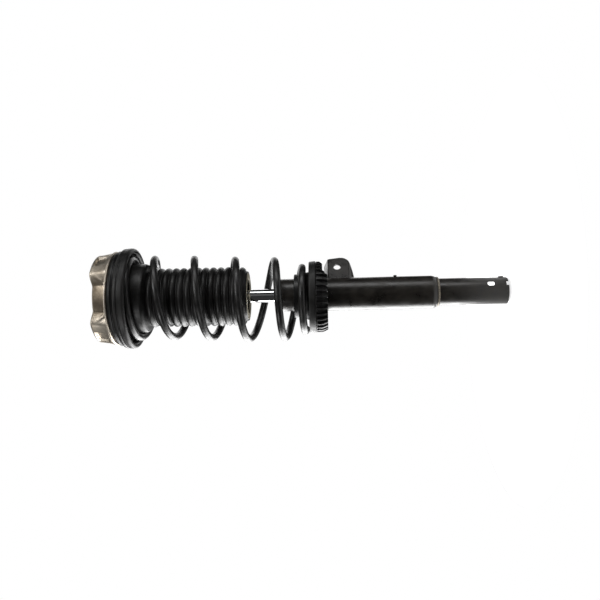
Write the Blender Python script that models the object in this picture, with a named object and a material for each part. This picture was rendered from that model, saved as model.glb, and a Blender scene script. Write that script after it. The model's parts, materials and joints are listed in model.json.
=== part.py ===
"""Front suspension strut: damper, coil spring, dust boot and top mount, as separate solids.

Frame: +Z runs up the strut's axis, towards the top mount. The origin is the centre of the
lower tube's open end, where the wheel carrier clamps it. +X is the side of the link bracket.
Sizes are in metres.
"""
import math

import bmesh
import bpy

MM = 0.001
GAP = 0.3 * MM                      # between pieces that touch
SEGMENTS = 24                       # around a turned piece
WIDE_SEGMENTS = 32                  # around the widest pieces

# Damper tubes
LOWER_TUBE_RADIUS = 22.5 * MM
LOWER_TUBE_WALL = 3.0 * MM
LOWER_TUBE_LENGTH = 130.0 * MM
NECK_OVERLAP = 12.4 * MM            # of the reservoir's neck over the lower tube
RESERVOIR_RADIUS = 27.5 * MM
RESERVOIR_WALL = 2.5 * MM
SHOULDER_HEIGHT = 9.4 * MM          # from the neck's edge to the full radius
NECK_WALL = 2.5 * MM
PRESSURE_TUBE_BORE = 18.0 * MM      # a radius
PRESSURE_TUBE_WALL = 2.0 * MM
BASE_PLUG_THICKNESS = 6.0 * MM
BASE_VALVE_HEIGHT = 12.0 * MM
GUIDE_HEIGHT = 11.7 * MM
GUIDE_SPIGOT = 8.0 * MM
SEAL_HEIGHT = 5.7 * MM
CAP_HEIGHT = 3.7 * MM

# Locating slot, notch and lug of the lower tube
SLOT_OFFSET = 12.0 * MM             # from the axis, towards +X
SLOT_HEIGHT = 29.0 * MM
SLOT_LENGTH = 12.5 * MM
SLOT_WIDTH = 6.6 * MM
SLOT_BACK_HEIGHT = 23.5 * MM        # of the longer slot in the back wall
SLOT_BACK_LENGTH = 23.5 * MM
NOTCH_WIDTH = 6.0 * MM
NOTCH_DEPTH = 4.0 * MM
LUG_HEIGHT = 9.0 * MM
LUG_SIZE = (2.0 * MM, 6.0 * MM, 8.0 * MM)
TAB_HEIGHT = 186.0 * MM
TAB_SIZE = (2.6 * MM, 7.0 * MM, 5.0 * MM)

# Coil spring wire, which the seats and the boot fit
WIRE_RADIUS = 6.25 * MM
COIL_RADIUS = 66.25 * MM            # to the wire's centre, in the free coils
END_PITCH = 13.0 * MM
COIL_START = -0.1                   # in turns, from the +X side
COIL_END = 5.55                     # in turns
COIL_LEAN = 5.3 * MM                # height of the coils' tilt, lower at +X
COIL_DRIFT = -7.5 * MM              # of the lower coils' centre, towards -X
COIL_STEPS = 18                     # points in each turn
COIL_TOP_GAP = 2.0 * MM             # from the first turn to the pad's web

# Lower spring seat
SEAT_BOTTOM = 300.6 * MM
RIB_TOP = SEAT_BOTTOM + 19.4 * MM
FLANGE_TOP = RIB_TOP + 8.5 * MM
HUB_BASE = FLANGE_TOP + 16.3 * MM
HUB_TOP = HUB_BASE + 11.9 * MM
HUB_RADIUS = RESERVOIR_RADIUS + 9.5 * MM
HUB_OFFSET = -2.0 * MM
CONE_RADIUS = HUB_RADIUS + 5.0 * MM
TAIL_RADIUS = CONE_RADIUS + WIRE_RADIUS + 5.75 * MM    # to the wire's centre, in the lowest coil
SEAT_RADIUS = TAIL_RADIUS + WIRE_RADIUS - 0.25 * MM
SEAT_OFFSET = -4.0 * MM             # of the seat's round edge, towards -X
RIB_COUNT = 18
RIB_DEPTH = 7.5 * MM
RIB_CHAMFER = 4.0 * MM
RIB_LIFT = 8.2 * MM                 # of the ribs' ends over the bracket
RIB_LIFT_TURN = 20.0                # degrees, the lifted ribs' middle
RIB_LIFT_HALF_WIDTH = 62.0          # degrees
SEAT_WALL = 2.5 * MM
SEAT_WEB_DROP = 0.7 * MM            # of the web's underside below the ribs' tops
PAD_THICKNESS = 2.7 * MM
SUPPORT_RADIUS = SEAT_RADIUS - 15.0 * MM
SUPPORT_SHEET = 3.0 * MM
SUPPORT_COLLAR = 10.0 * MM
RESERVOIR_TOP = HUB_TOP + 23.3 * MM

# Link bracket
BRACKET_HIGH = SEAT_BOTTOM + 5.4 * MM
BRACKET_LOW = BRACKET_HIGH - 54.0 * MM
BRACKET_REACH = RESERVOIR_RADIUS + 49.3 * MM           # its edge, from the axis
BRACKET_TURN = 40.0                 # degrees, from +X towards +Y
BRACKET_FRONT = -8.0 * MM           # the front plate's face
BRACKET_BACK = 12.0 * MM
BRACKET_SHEET = 3.0 * MM
BRACKET_FLARE = 10.0 * MM           # of its lower wall, from front to back
BRACKET_RAKE = 7.0 * MM             # of its upper wall
BRACKET_ROUND = 23.0 * MM           # height of the curve to the lower wall's foot
LINK_HOLE_RADIUS = 6.25 * MM
LINK_HOLE_REACH = RESERVOIR_RADIUS + 27.9 * MM
LINK_HOLE_HEIGHT = BRACKET_HIGH - 23.0 * MM

# Upper spring seat, bump stop and boot
PAD_TOP = 646.3 * MM
PAD_DEPTH = 15.8 * MM
PAD_SHEET = 2.1 * MM
PAD_LIP = 9.0 * MM                  # width of the lip round the end coil
PAD_RADIUS = COIL_RADIUS + WIRE_RADIUS + 4.1 * MM + PAD_LIP
UPPER_SEAT_RADIUS = PAD_RADIUS - 4.6 * MM
UPPER_SEAT_HEIGHT = 9.5 * MM
CUP_RADIUS = 31.0 * MM
CUP_DEPTH = 18.3 * MM
CUP_SHEET = 2.5 * MM
BUMP_STOP_BOTTOM = PAD_TOP - 103.3 * MM
BOOT_TOP = PAD_TOP - 6.3 * MM
BOOT_COLLAR_RADIUS = COIL_RADIUS - WIRE_RADIUS - 1.5 * MM
BOOT_COLLAR_WALL = 2.5 * MM
BOOT_COLLAR_BOTTOM = BOOT_TOP - 34.0 * MM
BOOT_RIDGE_PITCH = 12.7 * MM
BOOT_RIDGES = 12
BOOT_FIRST_RIDGE = BOOT_COLLAR_BOTTOM - 10.7 * MM - (BOOT_RIDGES - 1) * BOOT_RIDGE_PITCH
BOOT_BOTTOM = BOOT_FIRST_RIDGE - 17.6 * MM
BOOT_RIDGE_RADIUS = 50.0 * MM
BOOT_VALLEY_RADIUS = BOOT_RIDGE_RADIUS - 5.5 * MM
BOOT_WALL = 2.0 * MM
CLIP_HEIGHT = 9.0 * MM
CLIP_GAP = 1.2 * MM
END_RING_BORE = RESERVOIR_RADIUS + 2.5 * MM
END_RING_RADIUS = END_RING_BORE + 10.0 * MM
END_RING_HEIGHT = 5.5 * MM

# Rod and piston
ROD_RADIUS = 11.0 * MM
ROD_THREAD_RADIUS = 7.0 * MM
ROD_SPIGOT_RADIUS = 6.0 * MM
ROD_SHOULDER = PAD_TOP + 1.7 * MM
ROD_TOP = ROD_SHOULDER + 41.0 * MM
PISTON_HEIGHT = 18.0 * MM
PISTON_GAP = 0.7 * MM               # to the pressure tube, all round
BAND_HEIGHT = 10.0 * MM
BAND_THICKNESS = 1.1 * MM
REBOUND_STOP_HEIGHT = 8.0 * MM
PISTON_NUT_HEIGHT = 13.0 * MM
PISTON_NUT_FLATS = 19.0 * MM

# Top mount and its bearing
MOUNT_BOTTOM = PAD_TOP + 10.2 * MM
MOUNT_FLANGE_TOP = MOUNT_BOTTOM + 4.0 * MM
MOUNT_FLANGE_RADIUS = UPPER_SEAT_RADIUS - 0.5 * MM
MOUNT_TOP = MOUNT_BOTTOM + 33.5 * MM                   # the lobes' faces
MOUNT_WAIST_TOP = MOUNT_TOP - 4.5 * MM                # between the lobes
MOUNT_LOBE_RADIUS = 76.0 * MM
MOUNT_WAIST_RADIUS = 63.0 * MM
MOUNT_BORE = 38.0 * MM              # a radius
LOBE_ANGLES = (-30.0, -150.0, 90.0)
LOBE_HALF_WIDTH = 24.0              # degrees
LOBE_BLEND = 12.0                   # degrees
BOLT_CIRCLE = 57.0 * MM             # a radius
INSERT_RADIUS = 7.0 * MM
INSERT_BORE = 5.1 * MM              # a radius
INSERT_DEPTH = 23.0 * MM
RACE_HEIGHT = 12.7 * MM
RACE_BOTTOM = MOUNT_BOTTOM + 4.3 * MM
INNER_RACE_RADIUS = 12.5 * MM
OUTER_RACE_BORE = 18.5 * MM         # a radius
OUTER_RACE_RADIUS = 24.0 * MM
BALL_COUNT = 10
BALL_RADIUS = 2.7 * MM
CAGE_HEIGHT = 6.0 * MM
CAGE_THICKNESS = 2.4 * MM
RUBBER_HEIGHT = 22.0 * MM
WASHER_RADIUS = 17.0 * MM
WASHER_THICKNESS = 3.0 * MM
ROD_NUT_HEIGHT = 10.0 * MM
ROD_NUT_FLATS = 22.0 * MM


def clear_scene():
    for old in list(bpy.data.objects):
        bpy.data.objects.remove(old, do_unlink=True)


def material(name, colour, roughness, metallic):
    """A Principled material; colour is linear RGB."""
    mat = bpy.data.materials.new(name)
    mat.use_nodes = True
    shader = mat.node_tree.nodes["Principled BSDF"]
    shader.inputs["Base Color"].default_value = (*colour, 1.0)
    shader.inputs["Roughness"].default_value = roughness
    shader.inputs["Metallic"].default_value = metallic
    return mat


def black_paint():
    return material("black_paint", (0.018, 0.016, 0.015), 0.35, 0.0)


def black_rubber():
    return material("black_rubber", (0.012, 0.012, 0.012), 0.6, 0.0)


def black_plastic():
    return material("black_plastic", (0.016, 0.016, 0.016), 0.45, 0.0)


def bare_steel():
    return material("bare_steel", (0.42, 0.42, 0.42), 0.35, 1.0)


def chrome():
    return material("chrome", (0.62, 0.62, 0.63), 0.08, 1.0)


def cast_aluminium():
    return material("cast_aluminium", (0.44, 0.41, 0.35), 0.5, 1.0)


def zinc_steel():
    return material("zinc_steel", (0.5, 0.47, 0.38), 0.4, 1.0)


def cream_plastic():
    return material("cream_plastic", (0.45, 0.4, 0.24), 0.5, 0.0)


def polyurethane():
    return material("polyurethane", (0.5, 0.42, 0.22), 0.7, 0.0)


def new_object(name, mesh, mat, base, parent):
    """A named object whose own origin is on the axis at the height of its base."""
    mesh.materials.append(mat)
    mesh.shade_smooth()
    mesh.set_sharp_from_angle(angle=math.radians(35.0))
    obj = bpy.data.objects.new(name, mesh)
    bpy.context.scene.collection.objects.link(obj)
    obj.parent = parent
    obj.location = (0.0, 0.0, base - parent.location.z)
    return obj


def body_frame(name, height):
    """An empty on the strut's axis that carries the pieces of one moving body."""
    empty = bpy.data.objects.new(name, None)
    bpy.context.scene.collection.objects.link(empty)
    empty.location = (0.0, 0.0, height)
    return empty


def finished_mesh(name, bm):
    bmesh.ops.remove_doubles(bm, verts=bm.verts, dist=0.001 * MM)
    bmesh.ops.recalc_face_normals(bm, faces=bm.faces)
    mesh = bpy.data.meshes.new(name)
    bm.to_mesh(mesh)
    bm.free()
    return mesh


def turned(name, outline, base, mat, parent, segments=SEGMENTS):
    """A turned solid. The outline is (radius, height over the base); it closes on itself, or
    starts and ends on the axis."""
    bm = bmesh.new()
    verts = [bm.verts.new((radius, 0.0, height)) for radius, height in outline]
    edges = [bm.edges.new(pair) for pair in zip(verts, verts[1:])]
    if outline[0][0] > 0.0:
        edges.append(bm.edges.new((verts[-1], verts[0])))
    bmesh.ops.spin(
        bm, geom=verts + edges, cent=(0, 0, 0), axis=(0, 0, 1), angle=math.tau,
        steps=segments, use_merge=True,
    )
    return new_object(name, finished_mesh(name, bm), mat, base, parent)


def sleeve(name, bore, radius, bottom, top, mat, parent):
    """A plain ring or tube."""
    height = top - bottom
    outline = [(bore, 0.0), (radius, 0.0), (radius, height), (bore, height)]
    return turned(name, outline, bottom, mat, parent)


def lofted(name, rings, base, mat, parent):
    """A ring-shaped solid through closed rings of points, the last joined to the first."""
    bm = bmesh.new()
    loops = [[bm.verts.new(point) for point in ring] for ring in rings]
    for here, there in zip(loops, loops[1:] + loops[:1]):
        for n in range(len(here)):
            nxt = (n + 1) % len(here)
            bm.faces.new((here[n], here[nxt], there[nxt], there[n]))
    return new_object(name, finished_mesh(name, bm), mat, base, parent)


def prism(name, corners, depth, base, mat, parent, axis):
    """A flat outline extruded both ways along an axis: X takes (y, z), Y takes (x, z)."""
    bm = bmesh.new()
    low, high = depth
    if axis == "X":
        verts = [bm.verts.new((low, a, b)) for a, b in corners]
        step = (high - low, 0.0, 0.0)
    elif axis == "Y":
        verts = [bm.verts.new((a, low, b)) for a, b in corners]
        step = (0.0, high - low, 0.0)
    else:
        verts = [bm.verts.new((a, b, low)) for a, b in corners]
        step = (0.0, 0.0, high - low)
    face = bm.faces.new(verts)
    grown = bmesh.ops.extrude_face_region(bm, geom=[face], use_keep_orig=True)
    moved = [part for part in grown["geom"] if isinstance(part, bmesh.types.BMVert)]
    bmesh.ops.translate(bm, verts=moved, vec=step)
    return new_object(name, finished_mesh(name, bm), mat, base, parent)


def cutter(obj):
    """Marks a helper solid, which the model leaves out."""
    obj.hide_render = True
    obj.display_type = "WIRE"
    return obj


def boolean(obj, operation, tool):
    mod = obj.modifiers.new(operation.lower(), "BOOLEAN")
    mod.operation = operation
    mod.solver = "EXACT"
    mod.object = cutter(tool)


def stadium(centre, length, width, steps=6):
    """A slot's outline, long in its second coordinate."""
    radius = width / 2.0
    reach = length / 2.0 - radius
    corners = []
    for side in (1.0, -1.0):
        for n in range(steps + 1):
            turn = math.pi * n / steps + (0.0 if side > 0.0 else math.pi)
            along = side * reach + radius * math.sin(turn)
            corners.append((centre[0] + radius * math.cos(turn), centre[1] + along))
    return corners


def smooth(value):
    """Eases from 0 to 1 as the value goes from 0 to 1."""
    value = min(max(value, 0.0), 1.0)
    return value * value * (3.0 - 2.0 * value)


# Damper body

def lower_tube(mat, parent):
    bore = LOWER_TUBE_RADIUS - LOWER_TUBE_WALL
    obj = sleeve("lower_tube", bore, LOWER_TUBE_RADIUS, 0.0, LOWER_TUBE_LENGTH, mat, parent)
    across = 1.2 * LOWER_TUBE_RADIUS
    outline = stadium((SLOT_OFFSET, SLOT_HEIGHT), SLOT_LENGTH, SLOT_WIDTH)
    slot = prism("slot_cutter", outline, (-across, 0.0), 0.0, mat, parent, "Y")
    outline = stadium((SLOT_OFFSET, SLOT_BACK_HEIGHT), SLOT_BACK_LENGTH, SLOT_WIDTH)
    back_slot = prism("back_slot_cutter", outline, (0.0, across), 0.0, mat, parent, "Y")
    left = SLOT_OFFSET - NOTCH_WIDTH / 2.0
    right = SLOT_OFFSET + NOTCH_WIDTH / 2.0
    corners = [(left, -MM), (right, -MM), (right, NOTCH_DEPTH), (left, NOTCH_DEPTH)]
    notch = prism("notch_cutter", corners, (-across, 0.0), 0.0, mat, parent, "Y")
    boolean(obj, "DIFFERENCE", slot)
    boolean(obj, "DIFFERENCE", back_slot)
    boolean(obj, "DIFFERENCE", notch)


def block(name, radius, size, height, mat, parent):
    """A small block on a tube's +X side, with its middle at a height."""
    thick, wide, tall = size
    corners = [
        (-wide / 2.0, -tall / 2.0), (wide / 2.0, -tall / 2.0),
        (wide / 2.0, tall / 2.0), (-wide / 2.0, tall / 2.0),
    ]
    depth = (radius + GAP, radius + GAP + thick)
    prism(name, corners, depth, height, mat, parent, "X")


def lower_weld_bead(mat, parent):
    top = LOWER_TUBE_LENGTH - NECK_OVERLAP - GAP
    inner = LOWER_TUBE_RADIUS + GAP
    outer = inner + NECK_WALL
    bead = 4.0 * MM
    outline = [
        (inner, -bead), (inner + 0.55 * NECK_WALL, -0.82 * bead),
        (outer, -0.4 * bead), (outer + 0.5 * MM, 0.0), (inner, 0.0),
    ]
    turned("lower_weld_bead", outline, top, mat, parent)


def reservoir_tube(mat, parent):
    bottom = LOWER_TUBE_LENGTH - NECK_OVERLAP
    neck_bore = LOWER_TUBE_RADIUS + GAP
    neck = neck_bore + NECK_WALL
    bore = RESERVOIR_RADIUS - RESERVOIR_WALL
    height = RESERVOIR_TOP - bottom
    step = NECK_OVERLAP + 2.0 * GAP
    outline = [
        (neck_bore, 0.0), (neck, 0.0), (neck + 0.3 * MM, 0.4 * SHOULDER_HEIGHT),
        (neck + 0.6 * (RESERVOIR_RADIUS - neck), 0.75 * SHOULDER_HEIGHT),
        (RESERVOIR_RADIUS, SHOULDER_HEIGHT), (RESERVOIR_RADIUS, height - 0.8 * MM),
        (RESERVOIR_RADIUS - 0.8 * MM, height), (bore, height),
        (bore, step + RESERVOIR_WALL), (neck_bore, step),
    ]
    turned("reservoir_tube", outline, bottom, mat, parent)


def damper_inside(steel, rubber, parent):
    """The pieces inside the reservoir, from the base up."""
    bore = RESERVOIR_RADIUS - RESERVOIR_WALL - GAP
    plug_bottom = LOWER_TUBE_LENGTH + RESERVOIR_WALL + 2.0 * GAP
    plug_top = plug_bottom + BASE_PLUG_THICKNESS
    outline = [(0.0, 0.0), (bore - MM, 0.0), (bore, MM)]
    outline += [(bore, BASE_PLUG_THICKNESS), (0.0, BASE_PLUG_THICKNESS)]
    turned("base_plug", outline, plug_bottom, steel, parent)
    valve_bottom = plug_top + GAP
    valve = PRESSURE_TUBE_BORE - GAP
    height = BASE_VALVE_HEIGHT
    outline = [(0.0, 0.0), (valve, 0.0), (valve, 0.5 * height), (0.6 * valve, 0.7 * height)]
    outline += [(0.3 * valve, 0.75 * height), (0.3 * valve, height), (0.0, height)]
    turned("base_valve", outline, valve_bottom, steel, parent)
    guide_bottom = guide_base()
    tube = PRESSURE_TUBE_BORE + PRESSURE_TUBE_WALL
    sleeve("pressure_tube", PRESSURE_TUBE_BORE, tube, valve_bottom, guide_bottom - GAP, steel, parent)
    shaft = ROD_RADIUS + GAP
    spigot = PRESSURE_TUBE_BORE - GAP
    outline = [
        (shaft, -GUIDE_SPIGOT), (spigot, -GUIDE_SPIGOT), (spigot, 0.0),
        (bore, 0.0), (bore, GUIDE_HEIGHT), (shaft, GUIDE_HEIGHT),
    ]
    turned("rod_guide", outline, guide_bottom, steel, parent)
    seal_bottom = guide_bottom + GUIDE_HEIGHT + GAP
    sleeve("rod_seal", shaft, bore, seal_bottom, seal_bottom + SEAL_HEIGHT, rubber, parent)
    cap_bottom = RESERVOIR_TOP - CAP_HEIGHT
    sleeve("tube_cap", shaft + GAP, bore, cap_bottom, RESERVOIR_TOP, steel, parent)


def guide_base():
    """Where the rod guide rests on the pressure tube."""
    return RESERVOIR_TOP - CAP_HEIGHT - SEAL_HEIGHT - GUIDE_HEIGHT - 2.0 * GAP


def link_bracket(mat, parent):
    """A channel of sheet steel: a front plate and two walls that lean back."""
    sheet = BRACKET_SHEET
    low = BRACKET_LOW + BRACKET_FLARE
    high = BRACKET_HIGH - BRACKET_RAKE
    corners = [
        (BRACKET_BACK, BRACKET_LOW), (BRACKET_FRONT, low),
        (BRACKET_FRONT, high), (BRACKET_BACK, BRACKET_HIGH),
        (BRACKET_BACK, BRACKET_HIGH - 1.05 * sheet),
        (BRACKET_FRONT + sheet, high - 0.75 * sheet),
        (BRACKET_FRONT + sheet, low + 0.75 * sheet),
        (BRACKET_BACK, BRACKET_LOW + 1.1 * sheet),
    ]
    inside = 0.6 * RESERVOIR_RADIUS
    obj = prism("link_bracket", corners, (inside, BRACKET_REACH), 0.0, mat, parent, "X")
    # The front view's outline: a high middle, and a long curve down to the lower wall's foot
    span = BRACKET_REACH - RESERVOIR_RADIUS
    outline = [(0.0, BRACKET_HIGH + MM), (BRACKET_REACH - 0.07 * span, BRACKET_HIGH + MM)]
    outline.append((BRACKET_REACH - 0.06 * span, high))
    outline.append((BRACKET_REACH, 0.5 * (low + high)))
    for n in range(9):
        turn = math.radians(90.0 * n / 8.0)
        reach = RESERVOIR_RADIUS + span * math.cos(turn)
        drop = BRACKET_LOW + BRACKET_ROUND * (1.0 - math.sin(turn))
        outline.append((reach, drop))
    outline.append((0.0, BRACKET_LOW - MM))
    depth = (BRACKET_FRONT - MM, BRACKET_BACK + MM)
    face = prism("bracket_outline", outline, depth, 0.0, mat, parent, "Y")
    tube = turned_cutter("tube_cutter", RESERVOIR_RADIUS + GAP, BRACKET_LOW - MM,
                         BRACKET_HIGH + MM, mat, parent)
    hole = round_cutter(mat, parent)
    boolean(obj, "INTERSECT", face)
    boolean(obj, "DIFFERENCE", tube)
    boolean(obj, "DIFFERENCE", hole)
    for piece in (obj, face, hole):
        turn_about_axis(piece, BRACKET_TURN)


def turn_about_axis(obj, degrees):
    """Turns a finished piece about the strut's axis."""
    turn = math.radians(degrees)
    for vertex in obj.data.vertices:
        x = vertex.co.x
        y = vertex.co.y
        vertex.co.x = x * math.cos(turn) - y * math.sin(turn)
        vertex.co.y = x * math.sin(turn) + y * math.cos(turn)


def turned_cutter(name, radius, bottom, top, mat, parent):
    height = top - bottom
    outline = [(0.0, 0.0), (radius, 0.0), (radius, height), (0.0, height)]
    return turned(name, outline, bottom, mat, parent, 2 * SEGMENTS)


def round_cutter(mat, parent):
    corners = []
    for n in range(20):
        turn = math.tau * n / 20.0
        x = LINK_HOLE_REACH + LINK_HOLE_RADIUS * math.cos(turn)
        z = LINK_HOLE_HEIGHT + LINK_HOLE_RADIUS * math.sin(turn)
        corners.append((x, z))
    depth = (BRACKET_FRONT - MM, BRACKET_FRONT + BRACKET_SHEET + MM)
    return prism("link_hole_cutter", corners, depth, 0.0, mat, parent, "Y")


# Lower spring seat

def circle(radius, height, offset, count):
    """Points on a level circle whose centre is off the axis along X."""
    points = []
    for n in range(count):
        turn = math.tau * n / count
        points.append((offset + radius * math.cos(turn), radius * math.sin(turn), height))
    return points


def rib_ring(depth_share, chamfer, lift, count):
    """Points round the ribs' outer edges; between the ribs they fall back to the wall."""
    points = []
    per_rib = count // RIB_COUNT
    for n in range(count):
        turn = math.tau * (n + 0.5) / count
        on_rib = n % per_rib < per_rib // 2
        radius = SEAT_RADIUS - (chamfer if on_rib else RIB_DEPTH * depth_share)
        from_middle = turn - math.radians(RIB_LIFT_TURN)
        near_bracket = math.cos(from_middle) > math.cos(math.radians(RIB_LIFT_HALF_WIDTH))
        height = lift + (RIB_LIFT if near_bracket and lift == 0.0 else 0.0)
        points.append((SEAT_OFFSET + radius * math.cos(turn), radius * math.sin(turn), height))
    return points


def lower_spring_seat(mat, parent):
    """A ribbed plastic seat: hub, cone, flange, and ribs under the flange."""
    count = 4 * RIB_COUNT
    bore = RESERVOIR_RADIUS + 2.0 * GAP
    flange = SEAT_RADIUS - 3.0 * MM
    wall = SEAT_RADIUS - RIB_DEPTH - SEAT_WALL
    web = RIB_TOP - SEAT_BOTTOM - SEAT_WEB_DROP
    rib = RIB_TOP - SEAT_BOTTOM
    bottom = rib_ring(1.0, RIB_CHAMFER, 0.0, count)
    inner = []
    for point in bottom:
        turn = math.atan2(point[1], point[0] - SEAT_OFFSET)
        inner.append((SEAT_OFFSET + wall * math.cos(turn), wall * math.sin(turn), point[2]))
    half = math.tau * 0.5 / count

    def ring(radius, height, offset):
        points = []
        for n in range(count):
            turn = math.tau * n / count + half
            points.append((offset + radius * math.cos(turn), radius * math.sin(turn), height))
        return points

    rings = [
        ring(bore, HUB_TOP - SEAT_BOTTOM, 0.0),
        ring(HUB_RADIUS, HUB_TOP - SEAT_BOTTOM, HUB_OFFSET),
        ring(HUB_RADIUS, HUB_BASE - SEAT_BOTTOM, HUB_OFFSET),
        ring(CONE_RADIUS, FLANGE_TOP - SEAT_BOTTOM, HUB_OFFSET),
        ring(flange, FLANGE_TOP - SEAT_BOTTOM, SEAT_OFFSET),
        ring(flange, rib, SEAT_OFFSET),
        rib_ring(1.0, 0.0, rib, count),
        rib_ring(1.0, 0.0, 0.5 * rib, count),
        bottom,
        inner,
        ring(wall, web, SEAT_OFFSET),
        ring(bore, web, 0.0),
    ]
    lofted("lower_spring_seat", rings, SEAT_BOTTOM, mat, parent)


def lower_seat_support(mat, parent):
    """The pressed steel ring under the plastic seat, with its collar on the reservoir."""
    top = RIB_TOP - SEAT_WEB_DROP - GAP
    bore = RESERVOIR_RADIUS + GAP
    outline = [
        (bore, -SUPPORT_COLLAR), (bore + SUPPORT_SHEET, -SUPPORT_COLLAR),
        (bore + SUPPORT_SHEET, -SUPPORT_SHEET), (SUPPORT_RADIUS, -SUPPORT_SHEET),
        (SUPPORT_RADIUS, 0.0), (bore, 0.0),
    ]
    turned("lower_seat_support", outline, top, mat, parent)


def lower_spring_pad(mat, parent):
    """A rubber ring over the flange, with a skirt down its edge."""
    count = WIDE_SEGMENTS
    inside = SEAT_RADIUS - 3.0 * MM + GAP
    foot = CONE_RADIUS + 1.5 * MM
    floor = FLANGE_TOP + GAP - RIB_TOP
    top = floor + PAD_THICKNESS
    rings = [
        circle(foot, floor, HUB_OFFSET, count),
        circle(inside, floor, SEAT_OFFSET, count),
        circle(inside, GAP, SEAT_OFFSET, count),
        circle(SEAT_RADIUS + 0.5 * MM, GAP, SEAT_OFFSET, count),
        circle(SEAT_RADIUS + 0.5 * MM, top - MM, SEAT_OFFSET, count),
        circle(SEAT_RADIUS - 0.5 * MM, top, SEAT_OFFSET, count),
        circle(foot, top, HUB_OFFSET, count),
    ]
    lofted("lower_spring_pad", rings, RIB_TOP, mat, parent)


# Coil spring

def openness(turn):
    """0 where the coil is closed, at both ends, and 1 where it is free."""
    return min(smooth((turn + 0.2) / 1.4), smooth((5.6 - turn) / 1.8))


def coil_points():
    """The wire's centre line: a right-handed helix with eased pitch, tilt and drift.

    The free pitch is what makes it reach from the upper pad's web to the lower pad."""
    steps = round((COIL_END - COIL_START) * COIL_STEPS)
    size = (COIL_END - COIL_START) / steps
    top = PAD_TOP - PAD_SHEET - COIL_TOP_GAP - WIRE_RADIUS
    bottom = FLANGE_TOP + PAD_THICKNESS + 2.0 * GAP + WIRE_RADIUS
    open_share = [openness(COIL_START + (n + 0.5) * size) for n in range(steps)]
    spare = top - bottom - END_PITCH * (COIL_END - COIL_START)
    extra = spare / sum(open_share)
    height = top
    points = []
    for n in range(steps + 1):
        turn = COIL_START + n * size
        tail = smooth((turn - 4.3) / 0.7)
        radius = COIL_RADIUS + (TAIL_RADIUS - COIL_RADIUS) * tail
        lean = COIL_LEAN * smooth((turn - 1.2) / 2.2) * (1.0 - smooth((turn - 4.9) / 0.65))
        drift = COIL_DRIFT * smooth((turn - 1.0) / 3.4)
        angle = -math.tau * turn
        x = drift + radius * math.cos(angle)
        z = height - lean * math.cos(angle)
        points.append((x, radius * math.sin(angle), z))
        if n < steps:
            height -= END_PITCH * size + extra * open_share[n]
    return points


def coil_spring(mat, parent):
    curve = bpy.data.curves.new("coil_spring", "CURVE")
    curve.dimensions = "3D"
    curve.bevel_depth = WIRE_RADIUS
    curve.bevel_resolution = 1
    curve.use_fill_caps = True
    spline = curve.splines.new("POLY")
    points = coil_points()
    spline.points.add(len(points) - 1)
    for point, place in zip(spline.points, points):
        point.co = (*place, 1.0)
    spline.use_smooth = True
    curve.materials.append(mat)
    obj = bpy.data.objects.new("coil_spring", curve)
    bpy.context.scene.collection.objects.link(obj)
    obj.parent = parent


# Rod and piston

def piston_base():
    """The piston's underside, with the rebound stop just under the guide's spigot."""
    return guide_base() - GUIDE_SPIGOT - REBOUND_STOP_HEIGHT - PISTON_HEIGHT - 2.0 * GAP - MM


def piston_rod(mat, parent):
    bottom = piston_base() - PISTON_NUT_HEIGHT - 2.0 * MM
    seat = piston_base() + PISTON_HEIGHT + GAP - bottom
    shoulder = ROD_SHOULDER - bottom
    top = ROD_TOP - bottom
    outline = [
        (0.0, 0.0), (ROD_SPIGOT_RADIUS, 0.0), (ROD_SPIGOT_RADIUS, seat),
        (ROD_RADIUS, seat), (ROD_RADIUS, shoulder - MM), (ROD_RADIUS - MM, shoulder),
        (ROD_THREAD_RADIUS, shoulder), (ROD_THREAD_RADIUS, top - MM),
        (ROD_THREAD_RADIUS - MM, top), (0.0, top),
    ]
    turned("piston_rod", outline, bottom, mat, parent)


def piston_pieces(steel, rubber, plastic, parent):
    base = piston_base()
    bore = ROD_SPIGOT_RADIUS + GAP
    radius = PRESSURE_TUBE_BORE - PISTON_GAP
    groove = radius - BAND_THICKNESS
    low = (PISTON_HEIGHT - BAND_HEIGHT) / 2.0
    high = low + BAND_HEIGHT
    outline = [
        (bore, 0.0), (radius, 0.0), (radius, low), (groove, low), (groove, high),
        (radius, high), (radius, PISTON_HEIGHT), (bore, PISTON_HEIGHT),
    ]
    turned("piston", outline, base, steel, parent)
    band = (groove + GAP, PRESSURE_TUBE_BORE - GAP)
    sleeve("piston_band", *band, base + low + GAP, base + high - GAP, plastic, parent)
    hex_nut("piston_nut", PISTON_NUT_FLATS, bore, base - GAP - PISTON_NUT_HEIGHT,
            base - GAP, steel, parent)
    stop = base + PISTON_HEIGHT + GAP + MM
    sleeve("rebound_stop", ROD_RADIUS + GAP, PRESSURE_TUBE_BORE - MM, stop,
           stop + REBOUND_STOP_HEIGHT, rubber, parent)


def hex_nut(name, flats, bore, bottom, top, mat, parent):
    """A plain hexagon nut, with its corners chamfered at both ends."""
    corner = flats / math.sqrt(3.0)
    height = top - bottom
    chamfer = 0.1 * height
    count = 24

    def hexagon(shrink, level):
        points = []
        for n in range(count):
            turn = math.tau * n / count
            side = (turn + math.pi / 6.0) % (math.pi / 3.0) - math.pi / 6.0
            radius = min(flats / 2.0 / math.cos(side), corner) if shrink == 0.0 else 0.0
            radius = radius or min(flats / 2.0 / math.cos(side), flats / 2.0 * shrink)
            points.append((radius * math.cos(turn), radius * math.sin(turn), level))
        return points

    rings = [
        circle(bore, 0.0, 0.0, count), hexagon(1.0, 0.0), hexagon(0.0, chamfer),
        hexagon(0.0, height - chamfer), hexagon(1.0, height), circle(bore, height, 0.0, count),
    ]
    lofted(name, rings, bottom, mat, parent)


# Upper spring seat, bump stop and boot

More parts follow.
